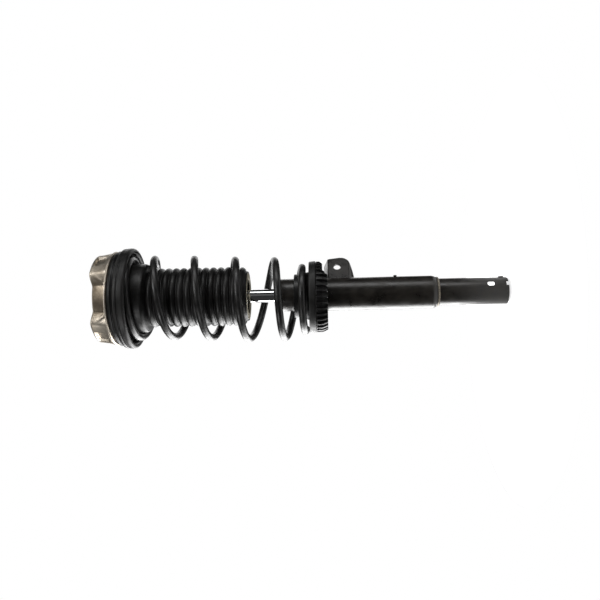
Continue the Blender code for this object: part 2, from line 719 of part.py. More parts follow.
def upper_spring_seat(mat, parent):
    base = PAD_TOP + GAP
    bore = ROD_THREAD_RADIUS + GAP
    shoulder = ROD_SHOULDER + GAP - base
    hub = RACE_BOTTOM - GAP - base
    rim = UPPER_SEAT_HEIGHT
    edge = UPPER_SEAT_RADIUS
    outline = [
        (ROD_RADIUS + MM, 0.0), (edge - 3.0 * MM, 0.0), (edge - 0.8 * MM, 0.2 * rim),
        (edge, 0.45 * rim), (edge - 0.8 * MM, 0.75 * rim), (edge - 3.5 * MM, rim),
        (edge - 7.0 * MM, rim), (edge - 9.0 * MM, 0.75 * rim), (INNER_RACE_RADIUS + MM, 0.75 * rim),
        (INNER_RACE_RADIUS - 0.5 * MM, hub), (bore, hub), (bore, shoulder),
        (ROD_RADIUS + MM, shoulder),
    ]
    turned("upper_spring_seat", outline, base, mat, parent, WIDE_SEGMENTS)


def upper_spring_pad(mat, parent):
    """A rubber ring with a rounded lip round the spring's end coil."""
    bore = CUP_RADIUS + 2.0 * GAP
    inner = PAD_RADIUS - PAD_LIP
    sheet = PAD_SHEET
    lip = PAD_LIP / 2.0
    middle = PAD_DEPTH - lip
    outline = [(bore, -sheet), (inner - 3.0 * MM, -sheet), (inner - 0.5 * MM, -3.0 * sheet)]
    for n in range(5):
        turn = math.radians(180.0 + 45.0 * n)
        outline.append((inner + lip + lip * math.cos(turn), -middle + lip * math.sin(turn)))
    outline += [(PAD_RADIUS - 0.4 * MM, -0.3 * PAD_DEPTH), (PAD_RADIUS - 3.5 * MM, 0.0)]
    outline.append((bore, 0.0))
    turned("upper_spring_pad", outline, PAD_TOP, mat, parent, WIDE_SEGMENTS)


def bump_stop_cup(mat, parent):
    bore = ROD_RADIUS + 1.3 * GAP
    inside = CUP_RADIUS - CUP_SHEET
    outline = [
        (bore, -CUP_SHEET), (inside, -CUP_SHEET), (inside, -CUP_DEPTH),
        (CUP_RADIUS, -CUP_DEPTH), (CUP_RADIUS, 0.0), (bore, 0.0),
    ]
    turned("bump_stop_cup", outline, PAD_TOP, mat, parent)


def bump_stop(mat, parent):
    """Microcellular bumper: a stack of three bulges, the top one held in the cup."""
    bore = ROD_RADIUS + 1.3 * GAP
    top = PAD_TOP - CUP_SHEET - GAP
    height = top - BUMP_STOP_BOTTOM
    held = CUP_RADIUS - CUP_SHEET - GAP
    outline = [(bore, 0.0), (0.58 * held, 0.0), (0.72 * held, 0.06 * height)]
    outline += [(0.62 * held, 0.17 * height), (0.82 * held, 0.3 * height)]
    outline += [(0.7 * held, 0.44 * height), (0.93 * held, 0.58 * height)]
    outline += [(0.8 * held, 0.71 * height), (held, 0.84 * height), (held, height), (bore, height)]
    turned("bump_stop", outline, BUMP_STOP_BOTTOM, mat, parent)


def boot_ridge_height(n):
    return BOOT_FIRST_RIDGE + n * BOOT_RIDGE_PITCH


def dust_boot(mat, parent):
    """A bellows with a wide smooth collar at its top and a narrow mouth at its bottom."""
    half = BOOT_RIDGE_PITCH / 2.0
    wall = BOOT_VALLEY_RADIUS - BOOT_WALL
    first = BOOT_FIRST_RIDGE - BOOT_BOTTOM
    outline = [
        (END_RING_RADIUS - 1.5 * MM, 0.0), (END_RING_RADIUS + 1.5 * MM, 0.0),
        (BOOT_RIDGE_RADIUS - 2.0 * MM, 0.25 * first), (BOOT_RIDGE_RADIUS - 1.5 * MM, 0.5 * first),
        (BOOT_VALLEY_RADIUS, 0.5 * first + MM),
    ]
    for n in range(BOOT_RIDGES):
        height = boot_ridge_height(n) - BOOT_BOTTOM
        outline += [(BOOT_RIDGE_RADIUS, height), (BOOT_VALLEY_RADIUS, height + half)]
    collar = BOOT_COLLAR_BOTTOM - BOOT_BOTTOM
    top = BOOT_TOP - BOOT_BOTTOM
    outline += [
        (BOOT_COLLAR_RADIUS - 1.5 * MM, collar), (BOOT_COLLAR_RADIUS, collar + 2.0 * MM),
        (BOOT_COLLAR_RADIUS, top), (BOOT_COLLAR_RADIUS - BOOT_COLLAR_WALL, top),
        (BOOT_COLLAR_RADIUS - BOOT_COLLAR_WALL, collar + 4.0 * MM), (wall, collar - 3.0 * MM),
        (wall, 0.45 * first),
    ]
    turned("dust_boot", outline, BOOT_BOTTOM, mat, parent, segments=20)


def boot_clip(mat, parent):
    radius = BOOT_COLLAR_RADIUS - BOOT_COLLAR_WALL - CLIP_GAP
    bottom = BOOT_TOP + MM - CLIP_HEIGHT
    sleeve("boot_clip", radius - BOOT_COLLAR_WALL, radius, bottom, BOOT_TOP + MM, mat, parent)


def boot_end_ring(mat, parent):
    top = BOOT_BOTTOM - GAP
    outline = [
        (END_RING_BORE, 0.0), (END_RING_RADIUS - MM, 0.0), (END_RING_RADIUS, MM),
        (END_RING_RADIUS, END_RING_HEIGHT), (END_RING_BORE, END_RING_HEIGHT),
    ]
    turned("boot_end_ring", outline, top - END_RING_HEIGHT, mat, parent)


# Top mount and bearing

def lobe_share(turn):
    """1 on a lobe, 0 between the lobes, eased at its sides. The angle is in degrees."""
    nearest = min(abs((turn - lobe + 180.0) % 360.0 - 180.0) for lobe in LOBE_ANGLES)
    return 1.0 - smooth((nearest - LOBE_HALF_WIDTH) / LOBE_BLEND)


def mount_housing(mat, parent):
    """The cast housing: a flange, a drum with three lobes, and a bore for the rubber."""
    count = 60
    height = MOUNT_TOP - MOUNT_BOTTOM
    flange = MOUNT_FLANGE_TOP - MOUNT_BOTTOM
    drop = MOUNT_TOP - MOUNT_WAIST_TOP
    edge = 2.0 * MM

    def wall(grow, level, lobed_height):
        points = []
        for n in range(count):
            degrees = 360.0 * n / count
            share = lobe_share(degrees)
            radius = MOUNT_WAIST_RADIUS + (MOUNT_LOBE_RADIUS - MOUNT_WAIST_RADIUS) * share + grow
            z = level - (drop * (1.0 - share) if lobed_height else 0.0)
            turn = math.radians(degrees)
            points.append((radius * math.cos(turn), radius * math.sin(turn), z))
        return points

    def bore_rim():
        points = []
        for n in range(count):
            degrees = 360.0 * n / count
            z = height - drop * (1.0 - lobe_share(degrees))
            turn = math.radians(degrees)
            points.append((MOUNT_BORE * math.cos(turn), MOUNT_BORE * math.sin(turn), z))
        return points

    rings = [
        circle(MOUNT_BORE, 0.0, 0.0, count),
        circle(MOUNT_FLANGE_RADIUS - edge, 0.0, 0.0, count),
        circle(MOUNT_FLANGE_RADIUS, edge, 0.0, count),
        circle(MOUNT_FLANGE_RADIUS, flange - 0.5 * edge, 0.0, count),
        wall(edge, flange, False),
        wall(0.0, flange + 2.0 * edge, False),
        wall(-0.3 * edge, height - edge, True),
        wall(-1.3 * edge, height, True),
        bore_rim(),
    ]
    obj = lofted("mount_housing", rings, MOUNT_BOTTOM, mat, parent)
    for n, degrees in enumerate(LOBE_ANGLES):
        name = f"insert_cutter_{n + 1}"
        bottom = MOUNT_TOP - INSERT_DEPTH - GAP
        tool = turned_cutter(name, INSERT_RADIUS + GAP, bottom, MOUNT_TOP + MM, mat, parent)
        tool.location.x = BOLT_CIRCLE * math.cos(math.radians(degrees))
        tool.location.y = BOLT_CIRCLE * math.sin(math.radians(degrees))
        boolean(obj, "DIFFERENCE", tool)


def threaded_inserts(mat, parent):
    for n, degrees in enumerate(LOBE_ANGLES):
        name = f"threaded_insert_{n + 1}"
        bottom = MOUNT_TOP - INSERT_DEPTH
        top = MOUNT_TOP - GAP
        obj = sleeve(name, INSERT_BORE, INSERT_RADIUS, bottom, top, mat, parent)
        obj.location.x = BOLT_CIRCLE * math.cos(math.radians(degrees))
        obj.location.y = BOLT_CIRCLE * math.sin(math.radians(degrees))


def mount_rubber(mat, parent):
    """The rubber between the housing and the bearing, hollowed at both ends."""
    inner = OUTER_RACE_RADIUS + GAP
    outer = MOUNT_BORE - GAP
    middle = 0.5 * (inner + outer)
    height = RUBBER_HEIGHT
    outline = [
        (inner, 0.0), (inner + 2.0 * MM, 0.0), (middle, 0.25 * height), (outer, 0.05 * height),
        (outer, 0.95 * height), (middle, 0.72 * height), (inner + 2.0 * MM, 0.8 * height),
        (inner, 0.8 * height),
    ]
    turned("mount_rubber", outline, RACE_BOTTOM - MM, mat, parent)


def bearing(steel, parent_inner, parent_outer, parent_cage):
    top = RACE_BOTTOM + RACE_HEIGHT
    bore = ROD_THREAD_RADIUS + GAP
    sleeve("bearing_inner_race", bore, INNER_RACE_RADIUS, RACE_BOTTOM, top, steel, parent_inner)
    sleeve("bearing_outer_race", OUTER_RACE_BORE, OUTER_RACE_RADIUS, RACE_BOTTOM, top,
           steel, parent_outer)
    pitch = 0.5 * (INNER_RACE_RADIUS + OUTER_RACE_BORE)
    middle = RACE_BOTTOM + RACE_HEIGHT / 2.0
    bottom = middle - CAGE_HEIGHT / 2.0
    thick = CAGE_THICKNESS / 2.0
    cage = sleeve("bearing_cage", pitch - thick, pitch + thick, bottom, middle + CAGE_HEIGHT / 2.0,
                  steel, parent_cage)
    for n in range(BALL_COUNT):
        turn = math.tau * n / BALL_COUNT
        bm = bmesh.new()
        bmesh.ops.create_icosphere(bm, subdivisions=1, radius=BALL_RADIUS)
        name = f"ball_{n + 1}"
        ball = new_object(name, finished_mesh(name, bm), steel, middle, parent_cage)
        ball.location.x = pitch * math.cos(turn)
        ball.location.y = pitch * math.sin(turn)
        boolean(cage, "UNION", ball)


def rod_fixings(mat, parent):
    bore = ROD_THREAD_RADIUS + GAP
    bottom = RACE_BOTTOM + RACE_HEIGHT + GAP
    top = bottom + WASHER_THICKNESS
    sleeve("rod_washer", bore, WASHER_RADIUS, bottom, top, mat, parent)
    hex_nut("rod_nut", ROD_NUT_FLATS, bore, top + GAP, top + GAP + ROD_NUT_HEIGHT, mat, parent)


def build():
    clear_scene()
    body = body_frame("strut_body_frame", 0.0)
    rod = body_frame("rod_frame", ROD_SHOULDER)
    mount = body_frame("top_mount_frame", MOUNT_BOTTOM)
    cage = body_frame("bearing_cage_frame", RACE_BOTTOM + RACE_HEIGHT / 2.0)
    boot_end = body_frame("boot_end_frame", BOOT_BOTTOM)
    bpy.context.view_layer.update()
    paint = black_paint()
    rubber = black_rubber()
    plastic = black_plastic()
    steel = bare_steel()
    zinc = zinc_steel()

    lower_tube(paint, body)
    block("locating_lug", LOWER_TUBE_RADIUS, LUG_SIZE, LUG_HEIGHT, paint, body)
    lower_weld_bead(paint, body)
    reservoir_tube(paint, body)
    block("harness_tab", RESERVOIR_RADIUS, TAB_SIZE, TAB_HEIGHT, paint, body)
    damper_inside(steel, rubber, body)
    link_bracket(paint, body)
    lower_seat_support(paint, body)
    lower_spring_seat(plastic, body)
    lower_spring_pad(rubber, body)
    coil_spring(paint, body)

    piston_rod(chrome(), rod)
    piston_pieces(steel, rubber, plastic, rod)
    upper_spring_seat(plastic, rod)
    upper_spring_pad(rubber, rod)
    bump_stop_cup(zinc, rod)
    bump_stop(polyurethane(), rod)
    dust_boot(rubber, rod)
    boot_clip(plastic, rod)
    rod_fixings(zinc, rod)
    boot_end_ring(cream_plastic(), boot_end)

    mount_housing(cast_aluminium(), mount)
    threaded_inserts(zinc, mount)
    mount_rubber(rubber, mount)
    bearing(steel, rod, mount, cage)


build()
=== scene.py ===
# %% [markdown]
# # A front suspension strut
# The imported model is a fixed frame: bodies that move, and one plain solid for each part. This
# lesson loads it, sets a camera and studio light, makes the finishes, and then replaces the
# solids that show with finer pieces made by bmesh operators. Everything is in metres.

# %% Load the frame
import json
import math
import bmesh
import bpy
from mathutils import Matrix, Vector


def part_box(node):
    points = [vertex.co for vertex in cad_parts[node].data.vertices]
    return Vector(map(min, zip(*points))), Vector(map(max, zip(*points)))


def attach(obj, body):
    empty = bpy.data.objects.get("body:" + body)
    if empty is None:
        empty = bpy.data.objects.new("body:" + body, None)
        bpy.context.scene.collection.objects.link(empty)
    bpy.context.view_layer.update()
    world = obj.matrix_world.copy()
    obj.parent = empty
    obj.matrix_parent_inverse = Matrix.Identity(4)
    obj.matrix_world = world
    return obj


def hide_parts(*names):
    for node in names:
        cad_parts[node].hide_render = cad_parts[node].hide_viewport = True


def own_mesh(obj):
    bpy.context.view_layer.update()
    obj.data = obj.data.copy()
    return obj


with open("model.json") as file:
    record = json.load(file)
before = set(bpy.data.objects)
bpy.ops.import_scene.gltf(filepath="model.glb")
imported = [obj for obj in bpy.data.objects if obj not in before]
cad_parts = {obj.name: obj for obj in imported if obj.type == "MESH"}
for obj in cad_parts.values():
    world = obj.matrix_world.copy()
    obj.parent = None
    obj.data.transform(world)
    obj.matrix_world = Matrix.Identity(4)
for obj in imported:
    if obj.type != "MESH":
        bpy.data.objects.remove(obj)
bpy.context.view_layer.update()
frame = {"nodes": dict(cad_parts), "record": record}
MM = 0.001

# %% [markdown]
# ## Camera
# The strut lies on its side in the view: its top mount points left, and the link bracket
# points up. So the camera looks along +Y and is rolled a quarter turn. A long lens from more
# than a metre away keeps both ends nearly the same size, and a slight turn and tilt put the
# lower tube a little nearer and a little higher.

# %% Place the camera
LENS = 42.0
DISTANCE = 1.190
TURN = math.radians(2.0)
TILT = math.radians(1.23)
AIM_HEIGHT = 0.3474
AIM_DROP = 0.0087


def make_camera():
    right = Vector((-math.sin(TILT), math.sin(TURN) * math.cos(TILT),
                    -math.cos(TURN) * math.cos(TILT)))
    up = Vector((math.cos(TILT), math.sin(TURN) * math.sin(TILT),
                 -math.cos(TURN) * math.sin(TILT)))
    ahead = Vector((0.0, math.cos(TURN), math.sin(TURN)))
    place = Vector((0.0, 0.0, AIM_HEIGHT)) - DISTANCE * ahead - AIM_DROP * up
    data = bpy.data.cameras.new("camera")
    data.lens = LENS
    data.sensor_width = 36.0
    camera = bpy.data.objects.new("camera", data)
    bpy.context.scene.collection.objects.link(camera)
    turn = Matrix((right, up, -ahead)).transposed().to_4x4()
    camera.matrix_world = Matrix.Translation(place) @ turn
    bpy.context.scene.camera = camera
    return camera


camera = make_camera()
print("camera at", [round(c, 3) for c in camera.location])

# %% [markdown]
# ## One function for nodes and one for colours
# Shader trees are easier to read when every node is added the same way: its kind, its
# settings, and what goes into its sockets, where a socket stands for a link. Colours are
# written as the hex values a painter would look up, and shaders want them linear.

# %% Helpers for materials
def linear(code):
    channels = [int(code[n:n + 2], 16) / 255.0 for n in (1, 3, 5)]
    made = [c / 12.92 if c <= 0.04045 else ((c + 0.055) / 1.055) ** 2.4 for c in channels]
    return (*made, 1.0)


def add(tree, kind, settings=None, inputs=None):
    made = tree.nodes.new(kind)
    for name, value in (settings or {}).items():
        setattr(made, name, value)
    for name, value in (inputs or {}).items():
        if isinstance(value, bpy.types.NodeSocket):
            tree.links.new(value, made.inputs[name])
        else:
            made.inputs[name].default_value = value
    return made


def finish(name, colour, roughness, metallic=0.0, **sockets):
    """A Principled material. Returns it with its tree, its shader and Object coordinates."""
    made = bpy.data.materials.new(name)
    made.use_nodes = True
    tree = made.node_tree
    shader = tree.nodes["Principled BSDF"]
    shader.inputs["Base Color"].default_value = linear(colour)
    shader.inputs["Roughness"].default_value = roughness
    shader.inputs["Metallic"].default_value = metallic
    for socket, value in sockets.items():
        shader.inputs[socket.replace("_", " ")].default_value = value
    place = add(tree, "ShaderNodeTexCoord").outputs["Object"]
    made.diffuse_color = linear(colour)
    print("finish:", name)
    return made, tree, shader, place


def noise(tree, place, size, detail=2.0, rough=0.5):
    """Noise whose blotches are about this size in metres."""
    made = add(tree, "ShaderNodeTexNoise", None,
               {"Vector": place, "Scale": 1.0 / size, "Detail": detail, "Roughness": rough})
    return made.outputs["Fac"]


def spread(tree, value, low, high, start=0.35, end=0.65):
    """Maps the middle of a pattern to a range."""
    made = add(tree, "ShaderNodeMapRange", None, {
        "Value": value, "From Min": start, "From Max": end, "To Min": low, "To Max": high})
    return made.outputs["Result"]


def blend_colours(tree, share, first, second):
    made = add(tree, "ShaderNodeMix", {"data_type": "RGBA"}, {
        0: share, 6: linear(first), 7: linear(second)})
    return made.outputs[2]


def coat(tree, shader, colour, rough=None):
    """Links a colour, and a roughness if it varies, to the shader."""
    tree.links.new(colour, shader.inputs["Base Color"])
    if rough is not None:
        tree.links.new(rough, shader.inputs["Roughness"])


def relief(tree, shader, height, depth, strength=1.0, under=None):
    inputs = {"Height": height, "Distance": depth, "Strength": strength}
    if under is not None:
        inputs["Normal"] = under
    made = add(tree, "ShaderNodeBump", None, inputs)
    tree.links.new(made.outputs["Normal"], shader.inputs["Normal"])
    return made.outputs["Normal"]


# %% [markdown]
# ## Black dip paint on the tubes
# Strut bodies are electro-dip painted: a thin black film with a soft gloss, so the eye sees a
# dark brown-black with long highlights, slightly uneven where the film ran and dulled by
# handling. A faint orange peel of about 2 mm and a wider cloud in the roughness give that.

# %% Dip paint
def dip_paint():
    made, tree, shader, place = finish("black_dip_paint", "#16130f", 0.33, 0.0, IOR=1.5)
    cloud = noise(tree, place, 18 * MM, 4.0, 0.6)
    peel = noise(tree, place, 1.8 * MM, 2.0)
    colour = blend_colours(tree, spread(tree, cloud, 0.0, 1.0), "#120f0c", "#211d18")
    coat(tree, shader, colour, spread(tree, cloud, 0.27, 0.42))
    relief(tree, shader, peel, 0.02 * MM, 0.5)
    return made


DIP_PAINT = dip_paint()

# %% [markdown]
# ## Pale weld with painted highlight
# The bead is a paler, rougher grey-brown than the tube: partly the bare weld's own colour, partly
# a painted highlight along the neck's edge. The bead's scales show through.

# %% Weld finish
def pale_weld_with_highlight():
    # painted highlight: the pale base colour partly stands in for the highlight along the neck's
    # edge, partly the bare weld
    made, tree, shader, place = finish("weld_with_painted_highlight", "#6f685c", 0.42, 0.6)
    scale = noise(tree, place, 1.6 * MM, 3.0)
    colour = blend_colours(tree, spread(tree, scale, 0.0, 1.0), "#8b8375", "#4d473f")
    coat(tree, shader, colour)
    relief(tree, shader, scale, 0.08 * MM, 0.6)
    return made


WELD_AND_HIGHLIGHT = pale_weld_with_highlight()

# %% [markdown]
# ## Powder coat on the spring
# Spring wire is coated with epoxy powder, thicker than dip paint. It flows into a smooth satin
# skin with a peel of a few millimetres and a little dust held in the hollows.

# %% Powder coat
def powder_coat():
    made, tree, shader, place = finish("black_powder_coat", "#141414", 0.38, 0.0, IOR=1.5)
    peel = noise(tree, place, 2.6 * MM, 2.0)
    dust = noise(tree, place, 9 * MM, 5.0, 0.7)
    colour = blend_colours(tree, spread(tree, dust, 0.0, 1.0, 0.45, 0.7), "#111111", "#232220")
    coat(tree, shader, colour, spread(tree, dust, 0.3, 0.5))
    relief(tree, shader, peel, 0.03 * MM, 0.5)
    return made


POWDER_COAT = powder_coat()

# %% [markdown]
# ## Rubber
# Moulded natural rubber is matt, with a fine grain of about half a millimetre from the mould
# and a grey bloom that comes to its surface. The pads and the boot share it, the boot being a
# little smoother because it is blow-moulded.

# %% Rubber
def moulded_rubber(name, colour, bloom, rough_low, rough_high):
    made, tree, shader, place = finish(name, colour, rough_high, 0.0, IOR=1.52,
                                        Specular_IOR_Level=0.35)
    cloud = noise(tree, place, 14 * MM, 5.0, 0.65)
    grain = noise(tree, place, 0.7 * MM, 2.0)
    mixed = blend_colours(tree, spread(tree, cloud, 0.0, 1.0, 0.42, 0.7), colour, bloom)
    coat(tree, shader, mixed, spread(tree, cloud, rough_low, rough_high))
    relief(tree, shader, grain, 0.03 * MM, 0.4)
    return made


PAD_RUBBER = moulded_rubber("pad_rubber", "#0d0d0c", "#1c1b1a", 0.42, 0.6)
BOOT_RUBBER = moulded_rubber("boot_rubber", "#0b0b0a", "#151413", 0.38, 0.55)

# %% [markdown]
# ## Glass-filled nylon
# The ribbed seat is injection-moulded nylon with glass fibre. Fibres at the skin make it a
# duller black with short pale flecks, under a millimetre long, and a spark-eroded texture.

# %% Nylon
def filled_nylon():
    made, tree, shader, place = finish("glass_filled_nylon", "#161616", 0.45, 0.0, IOR=1.53,
                                        Specular_IOR_Level=0.35)
    fleck = noise(tree, place, 0.9 * MM, 3.0, 0.6)
    cloud = noise(tree, place, 20 * MM, 3.0)
    colour = blend_colours(tree, spread(tree, fleck, 0.0, 1.0, 0.5, 0.75), "#0d0d0d", "#1f1e1d")
    coat(tree, shader, colour, spread(tree, cloud, 0.36, 0.52))
    relief(tree, shader, fleck, 0.03 * MM, 0.4)
    return made


NYLON = filled_nylon()

# %% [markdown]
# ## Die-cast aluminium
# The mount is cast under pressure and shot-blasted: a warm light grey metal with a sandy grain
# of about 0.6 mm, darker stains in wide clouds, and small pits. Nearer the axis, in the waists
# between the lobes, the colour is darkened as painted shade for the recesses. A metal keeps the
# default IOR.

# %% Cast aluminium
def cast_aluminium():
    made, tree, shader, place = finish("die_cast_aluminium", "#c4bbad", 0.45, 1.0)
    stain = noise(tree, place, 24 * MM, 5.0, 0.65)
    sand = noise(tree, place, 0.8 * MM, 3.0, 0.6)
    pits = noise(tree, place, 2.4 * MM, 2.0)
    colour = blend_colours(tree, spread(tree, stain, 0.0, 1.0, 0.38, 0.66), "#c9c0b2", "#9a9082")
    flat = add(tree, "ShaderNodeVectorMath", {"operation": "MULTIPLY"}, {
        0: place, 1: (1.0, 1.0, 0.0)}).outputs["Vector"]
    reach = add(tree, "ShaderNodeVectorMath", {"operation": "LENGTH"}, {0: flat}).outputs["Value"]
    # painted shade: the colour is multiplied darker within 64 to 73 mm of the axis, where the
    # waists between the lobes are recessed
    recess_shade = add(tree, "ShaderNodeMix", {"data_type": "RGBA", "blend_type": "MULTIPLY"}, {
        0: spread(tree, reach, 0.8, 0.0, 64 * MM, 73 * MM), 6: colour, 7: linear("#8f867a")})
    coat(tree, shader, recess_shade.outputs[2], spread(tree, stain, 0.38, 0.55))
    first = relief(tree, shader, sand, 0.06 * MM, 0.6)
    relief(tree, shader, spread(tree, pits, 0.0, 1.0, 0.28, 0.4), 0.12 * MM, 0.5, first)
    return made


CAST_ALUMINIUM = cast_aluminium()

# %% [markdown]
# ## Hard chrome, machined steel and zinc plate
# The rod is ground and hard chromed, nearly a mirror with the faintest grinding rings. Turned
# steel shows rings of the tool's feed. Zinc plate is a soft silver with a yellow tint and a
# crystal cloud of a few millimetres.

# %% Bright metals
def hard_chrome():
    made, tree, shader, place = finish("hard_chrome", "#c9cacc", 0.09, 1.0)
    rings = add(tree, "ShaderNodeTexWave", {"wave_type": "BANDS", "bands_direction": "Z"}, {
        "Vector": place, "Scale": 1.0 / (1.2 * MM), "Distortion": 0.6}).outputs["Fac"]
    tree.links.new(spread(tree, rings, 0.07, 0.13, 0.0, 1.0), shader.inputs["Roughness"])
    relief(tree, shader, rings, 0.002 * MM, 0.2)
    return made


def turned_steel():
    made, tree, shader, place = finish("turned_steel", "#8d8b88", 0.32, 1.0)
    rings = add(tree, "ShaderNodeTexWave", {"wave_type": "RINGS", "rings_direction": "Z"}, {
        "Vector": place, "Scale": 1.0 / (1.6 * MM), "Distortion": 0.4}).outputs["Fac"]
    cloud = noise(tree, place, 8 * MM, 4.0)
    tree.links.new(spread(tree, cloud, 0.24, 0.42), shader.inputs["Roughness"])
    relief(tree, shader, rings, 0.01 * MM, 0.3)
    return made


def zinc_plate():
    made, tree, shader, place = finish("zinc_plate", "#b9b298", 0.35, 1.0)
    crystal = noise(tree, place, 4 * MM, 4.0, 0.6)
    colour = blend_colours(tree, spread(tree, crystal, 0.0, 1.0), "#bdb69c", "#8f8a78")
    coat(tree, shader, colour, spread(tree, crystal, 0.28, 0.45))
    relief(tree, shader, crystal, 0.02 * MM, 0.3)
    return made


CHROME = hard_chrome()
STEEL = turned_steel()
ZINC = zinc_plate()

# %% [markdown]
# ## Cream plastic and polyurethane foam
# The ring in the boot's mouth is unpigmented nylon, which yellows. The bump stop is foamed
# polyurethane: a dull straw colour whose cut skin shows cells of about a millimetre.

# %% Cream plastic and foam
def natural_nylon():
    made, tree, shader, place = finish("natural_nylon", "#a49c86", 0.5, 0.0, IOR=1.53)
    cloud = noise(tree, place, 10 * MM, 3.0)
    colour = blend_colours(tree, spread(tree, cloud, 0.0, 1.0), "#a8a18c", "#8b8574")
    coat(tree, shader, colour)
    relief(tree, shader, noise(tree, place, 0.8 * MM), 0.02 * MM, 0.4)
    return made


def foam():
    made, tree, shader, place = finish("polyurethane_foam", "#b59e63", 0.8, 0.0, IOR=1.45)
    cells = add(tree, "ShaderNodeTexVoronoi", None, {
        "Vector": place, "Scale": 1.0 / (1.1 * MM)}).outputs["Distance"]
    colour = blend_colours(tree, spread(tree, cells, 0.0, 1.0, 0.1, 0.7), "#8a7747", "#bba66c")
    coat(tree, shader, colour)
    relief(tree, shader, cells, 0.15 * MM, 0.6)
    return made


CREAM = natural_nylon()
FOAM = foam()

# %% [markdown]
# ## Finishes for the solids that stay
# Pieces inside the damper and the bearing keep their plain solids, so each only takes its
# finish. The record says which slot each node uses.

# %% Give every node its finish
FINISHES = {
    "black_paint": DIP_PAINT, "spring_coating": POWDER_COAT, "black_rubber": PAD_RUBBER,
    "black_plastic": NYLON, "cast_aluminium": CAST_ALUMINIUM, "chrome": CHROME,
    "bare_steel": STEEL, "zinc_steel": ZINC, "cream_plastic": CREAM, "polyurethane": FOAM,
}
SLOT_OF = {part["node"]: part["material_slot"] for part in frame["record"]["subparts"]}
for node_name, node_object in frame["nodes"].items():
    node_object.data.materials.clear()
    node_object.data.materials.append(FINISHES[SLOT_OF[node_name]])
print("finishes:", len(FINISHES))

# %% [markdown]
# ## Tools for turned pieces
# Most of a strut is turned or pressed round, so most pieces start as half a cross-section,
# radius by height, that bmesh spins about the axis. Real corners are never sharp: each corner
# of the section is rounded first, which is what catches the light. The doubles at the seam
# are merged and the normals recalculated, because a spin can turn a shape inside out.

# %% Section, spin and piece helpers
FINE = 128


def rounded(section, radius, steps=4, closed=True):
    """The same outline with its corners rounded; corners on the axis stay."""
    made = []
    count = len(section)
    for n, corner in enumerate(section):
        here = Vector(corner)
        if not closed and n in (0, count - 1) or corner[0] == 0.0:
            made.append(here)
            continue
        back = Vector(section[n - 1]) - here
        on = Vector(section[(n + 1) % count]) - here
        cut = min(radius, 0.45 * back.length, 0.45 * on.length)
        first = here + back.normalized() * cut
        last = here + on.normalized() * cut
        for k in range(steps + 1):
            t = k / steps
            made.append(first * (1 - t) ** 2 + here * 2 * t * (1 - t) + last * t ** 2)
    return made


def tidy(bm):
    bmesh.ops.remove_doubles(bm, verts=bm.verts, dist=0.002 * MM)
    bmesh.ops.recalc_face_normals(bm, faces=bm.faces)


def piece(name, bm, finish_used, body, nodes, sharp=35.0):
    """Makes the object, with its place in its mesh, rides it on a body and replaces solids."""
    mesh = bpy.data.meshes.new(name)
    bm.to_mesh(mesh)
    bm.free()
    mesh.materials.append(finish_used)
    mesh.shade_smooth()
    mesh.set_sharp_from_angle(angle=math.radians(sharp))
    made = bpy.data.objects.new(name, mesh)
    bpy.context.scene.collection.objects.link(made)
    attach(made, body)
    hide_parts(*nodes)
    print(f"{name}: {len(mesh.vertices)} vertices, on {body}")
    return made


def spun(section, steps=FINE):
    """A bmesh turned about the strut's axis from (radius, height) points."""
    bm = bmesh.new()
    verts = [bm.verts.new((p[0], 0.0, p[1])) for p in section]
    edges = [bm.edges.new(pair) for pair in zip(verts, verts[1:])]
    if section[0][0] > 0.0:
        edges.append(bm.edges.new((verts[-1], verts[0])))
    bmesh.ops.spin(bm, geom=verts + edges, cent=(0, 0, 0), axis=(0, 0, 1), angle=math.tau,
                   steps=steps, use_merge=True)
    tidy(bm)
    return bm


def node_size(name):
    """(outer radius about the axis, bottom, top) of a round node."""
    low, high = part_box(name)
    return high.y, low.z, high.z


def smooth(value):
    value = min(max(value, 0.0), 1.0)
    return value * value * (3.0 - 2.0 * value)


# %% [markdown]
# ## Reservoir tube and weld
# The wide tube is drawn steel, swaged in at its lower end onto the narrow tube and joined by a
# robot's weld. A weld bead is a row of overlapping scales, so a plain ring is spun and its
# vertices are then pushed in and out once for each scale.

# %% Reservoir tube and weld bead
TUBE_RADIUS, TUBE_BOTTOM, TUBE_TOP = node_size("reservoir_tube")
TUBE_WALL = 2.5 * MM
SPIGOT_RADIUS, SPIGOT_BOTTOM, SPIGOT_TOP = node_size("lower_tube")
SPIGOT_WALL = 3.0 * MM


def reservoir():
    neck = SPIGOT_RADIUS + 2.8 * MM
    bore = TUBE_RADIUS - TUBE_WALL
    section = [
        (SPIGOT_RADIUS + 0.3 * MM, TUBE_BOTTOM), (neck, TUBE_BOTTOM),
        (neck + 0.1 * MM, TUBE_BOTTOM + 1.8 * MM),
        (TUBE_RADIUS - 0.8 * MM, TUBE_BOTTOM + 4.5 * MM), (TUBE_RADIUS, TUBE_BOTTOM + 7.5 * MM),
        (TUBE_RADIUS, TUBE_TOP), (bore, TUBE_TOP), (bore, TUBE_BOTTOM + 15.5 * MM),
        (SPIGOT_RADIUS + 0.3 * MM, TUBE_BOTTOM + 13.0 * MM),
    ]
    return piece("reservoir_shell", spun(rounded(section, 1.6 * MM)), DIP_PAINT, "strut_body",
                 ["reservoir_tube"])


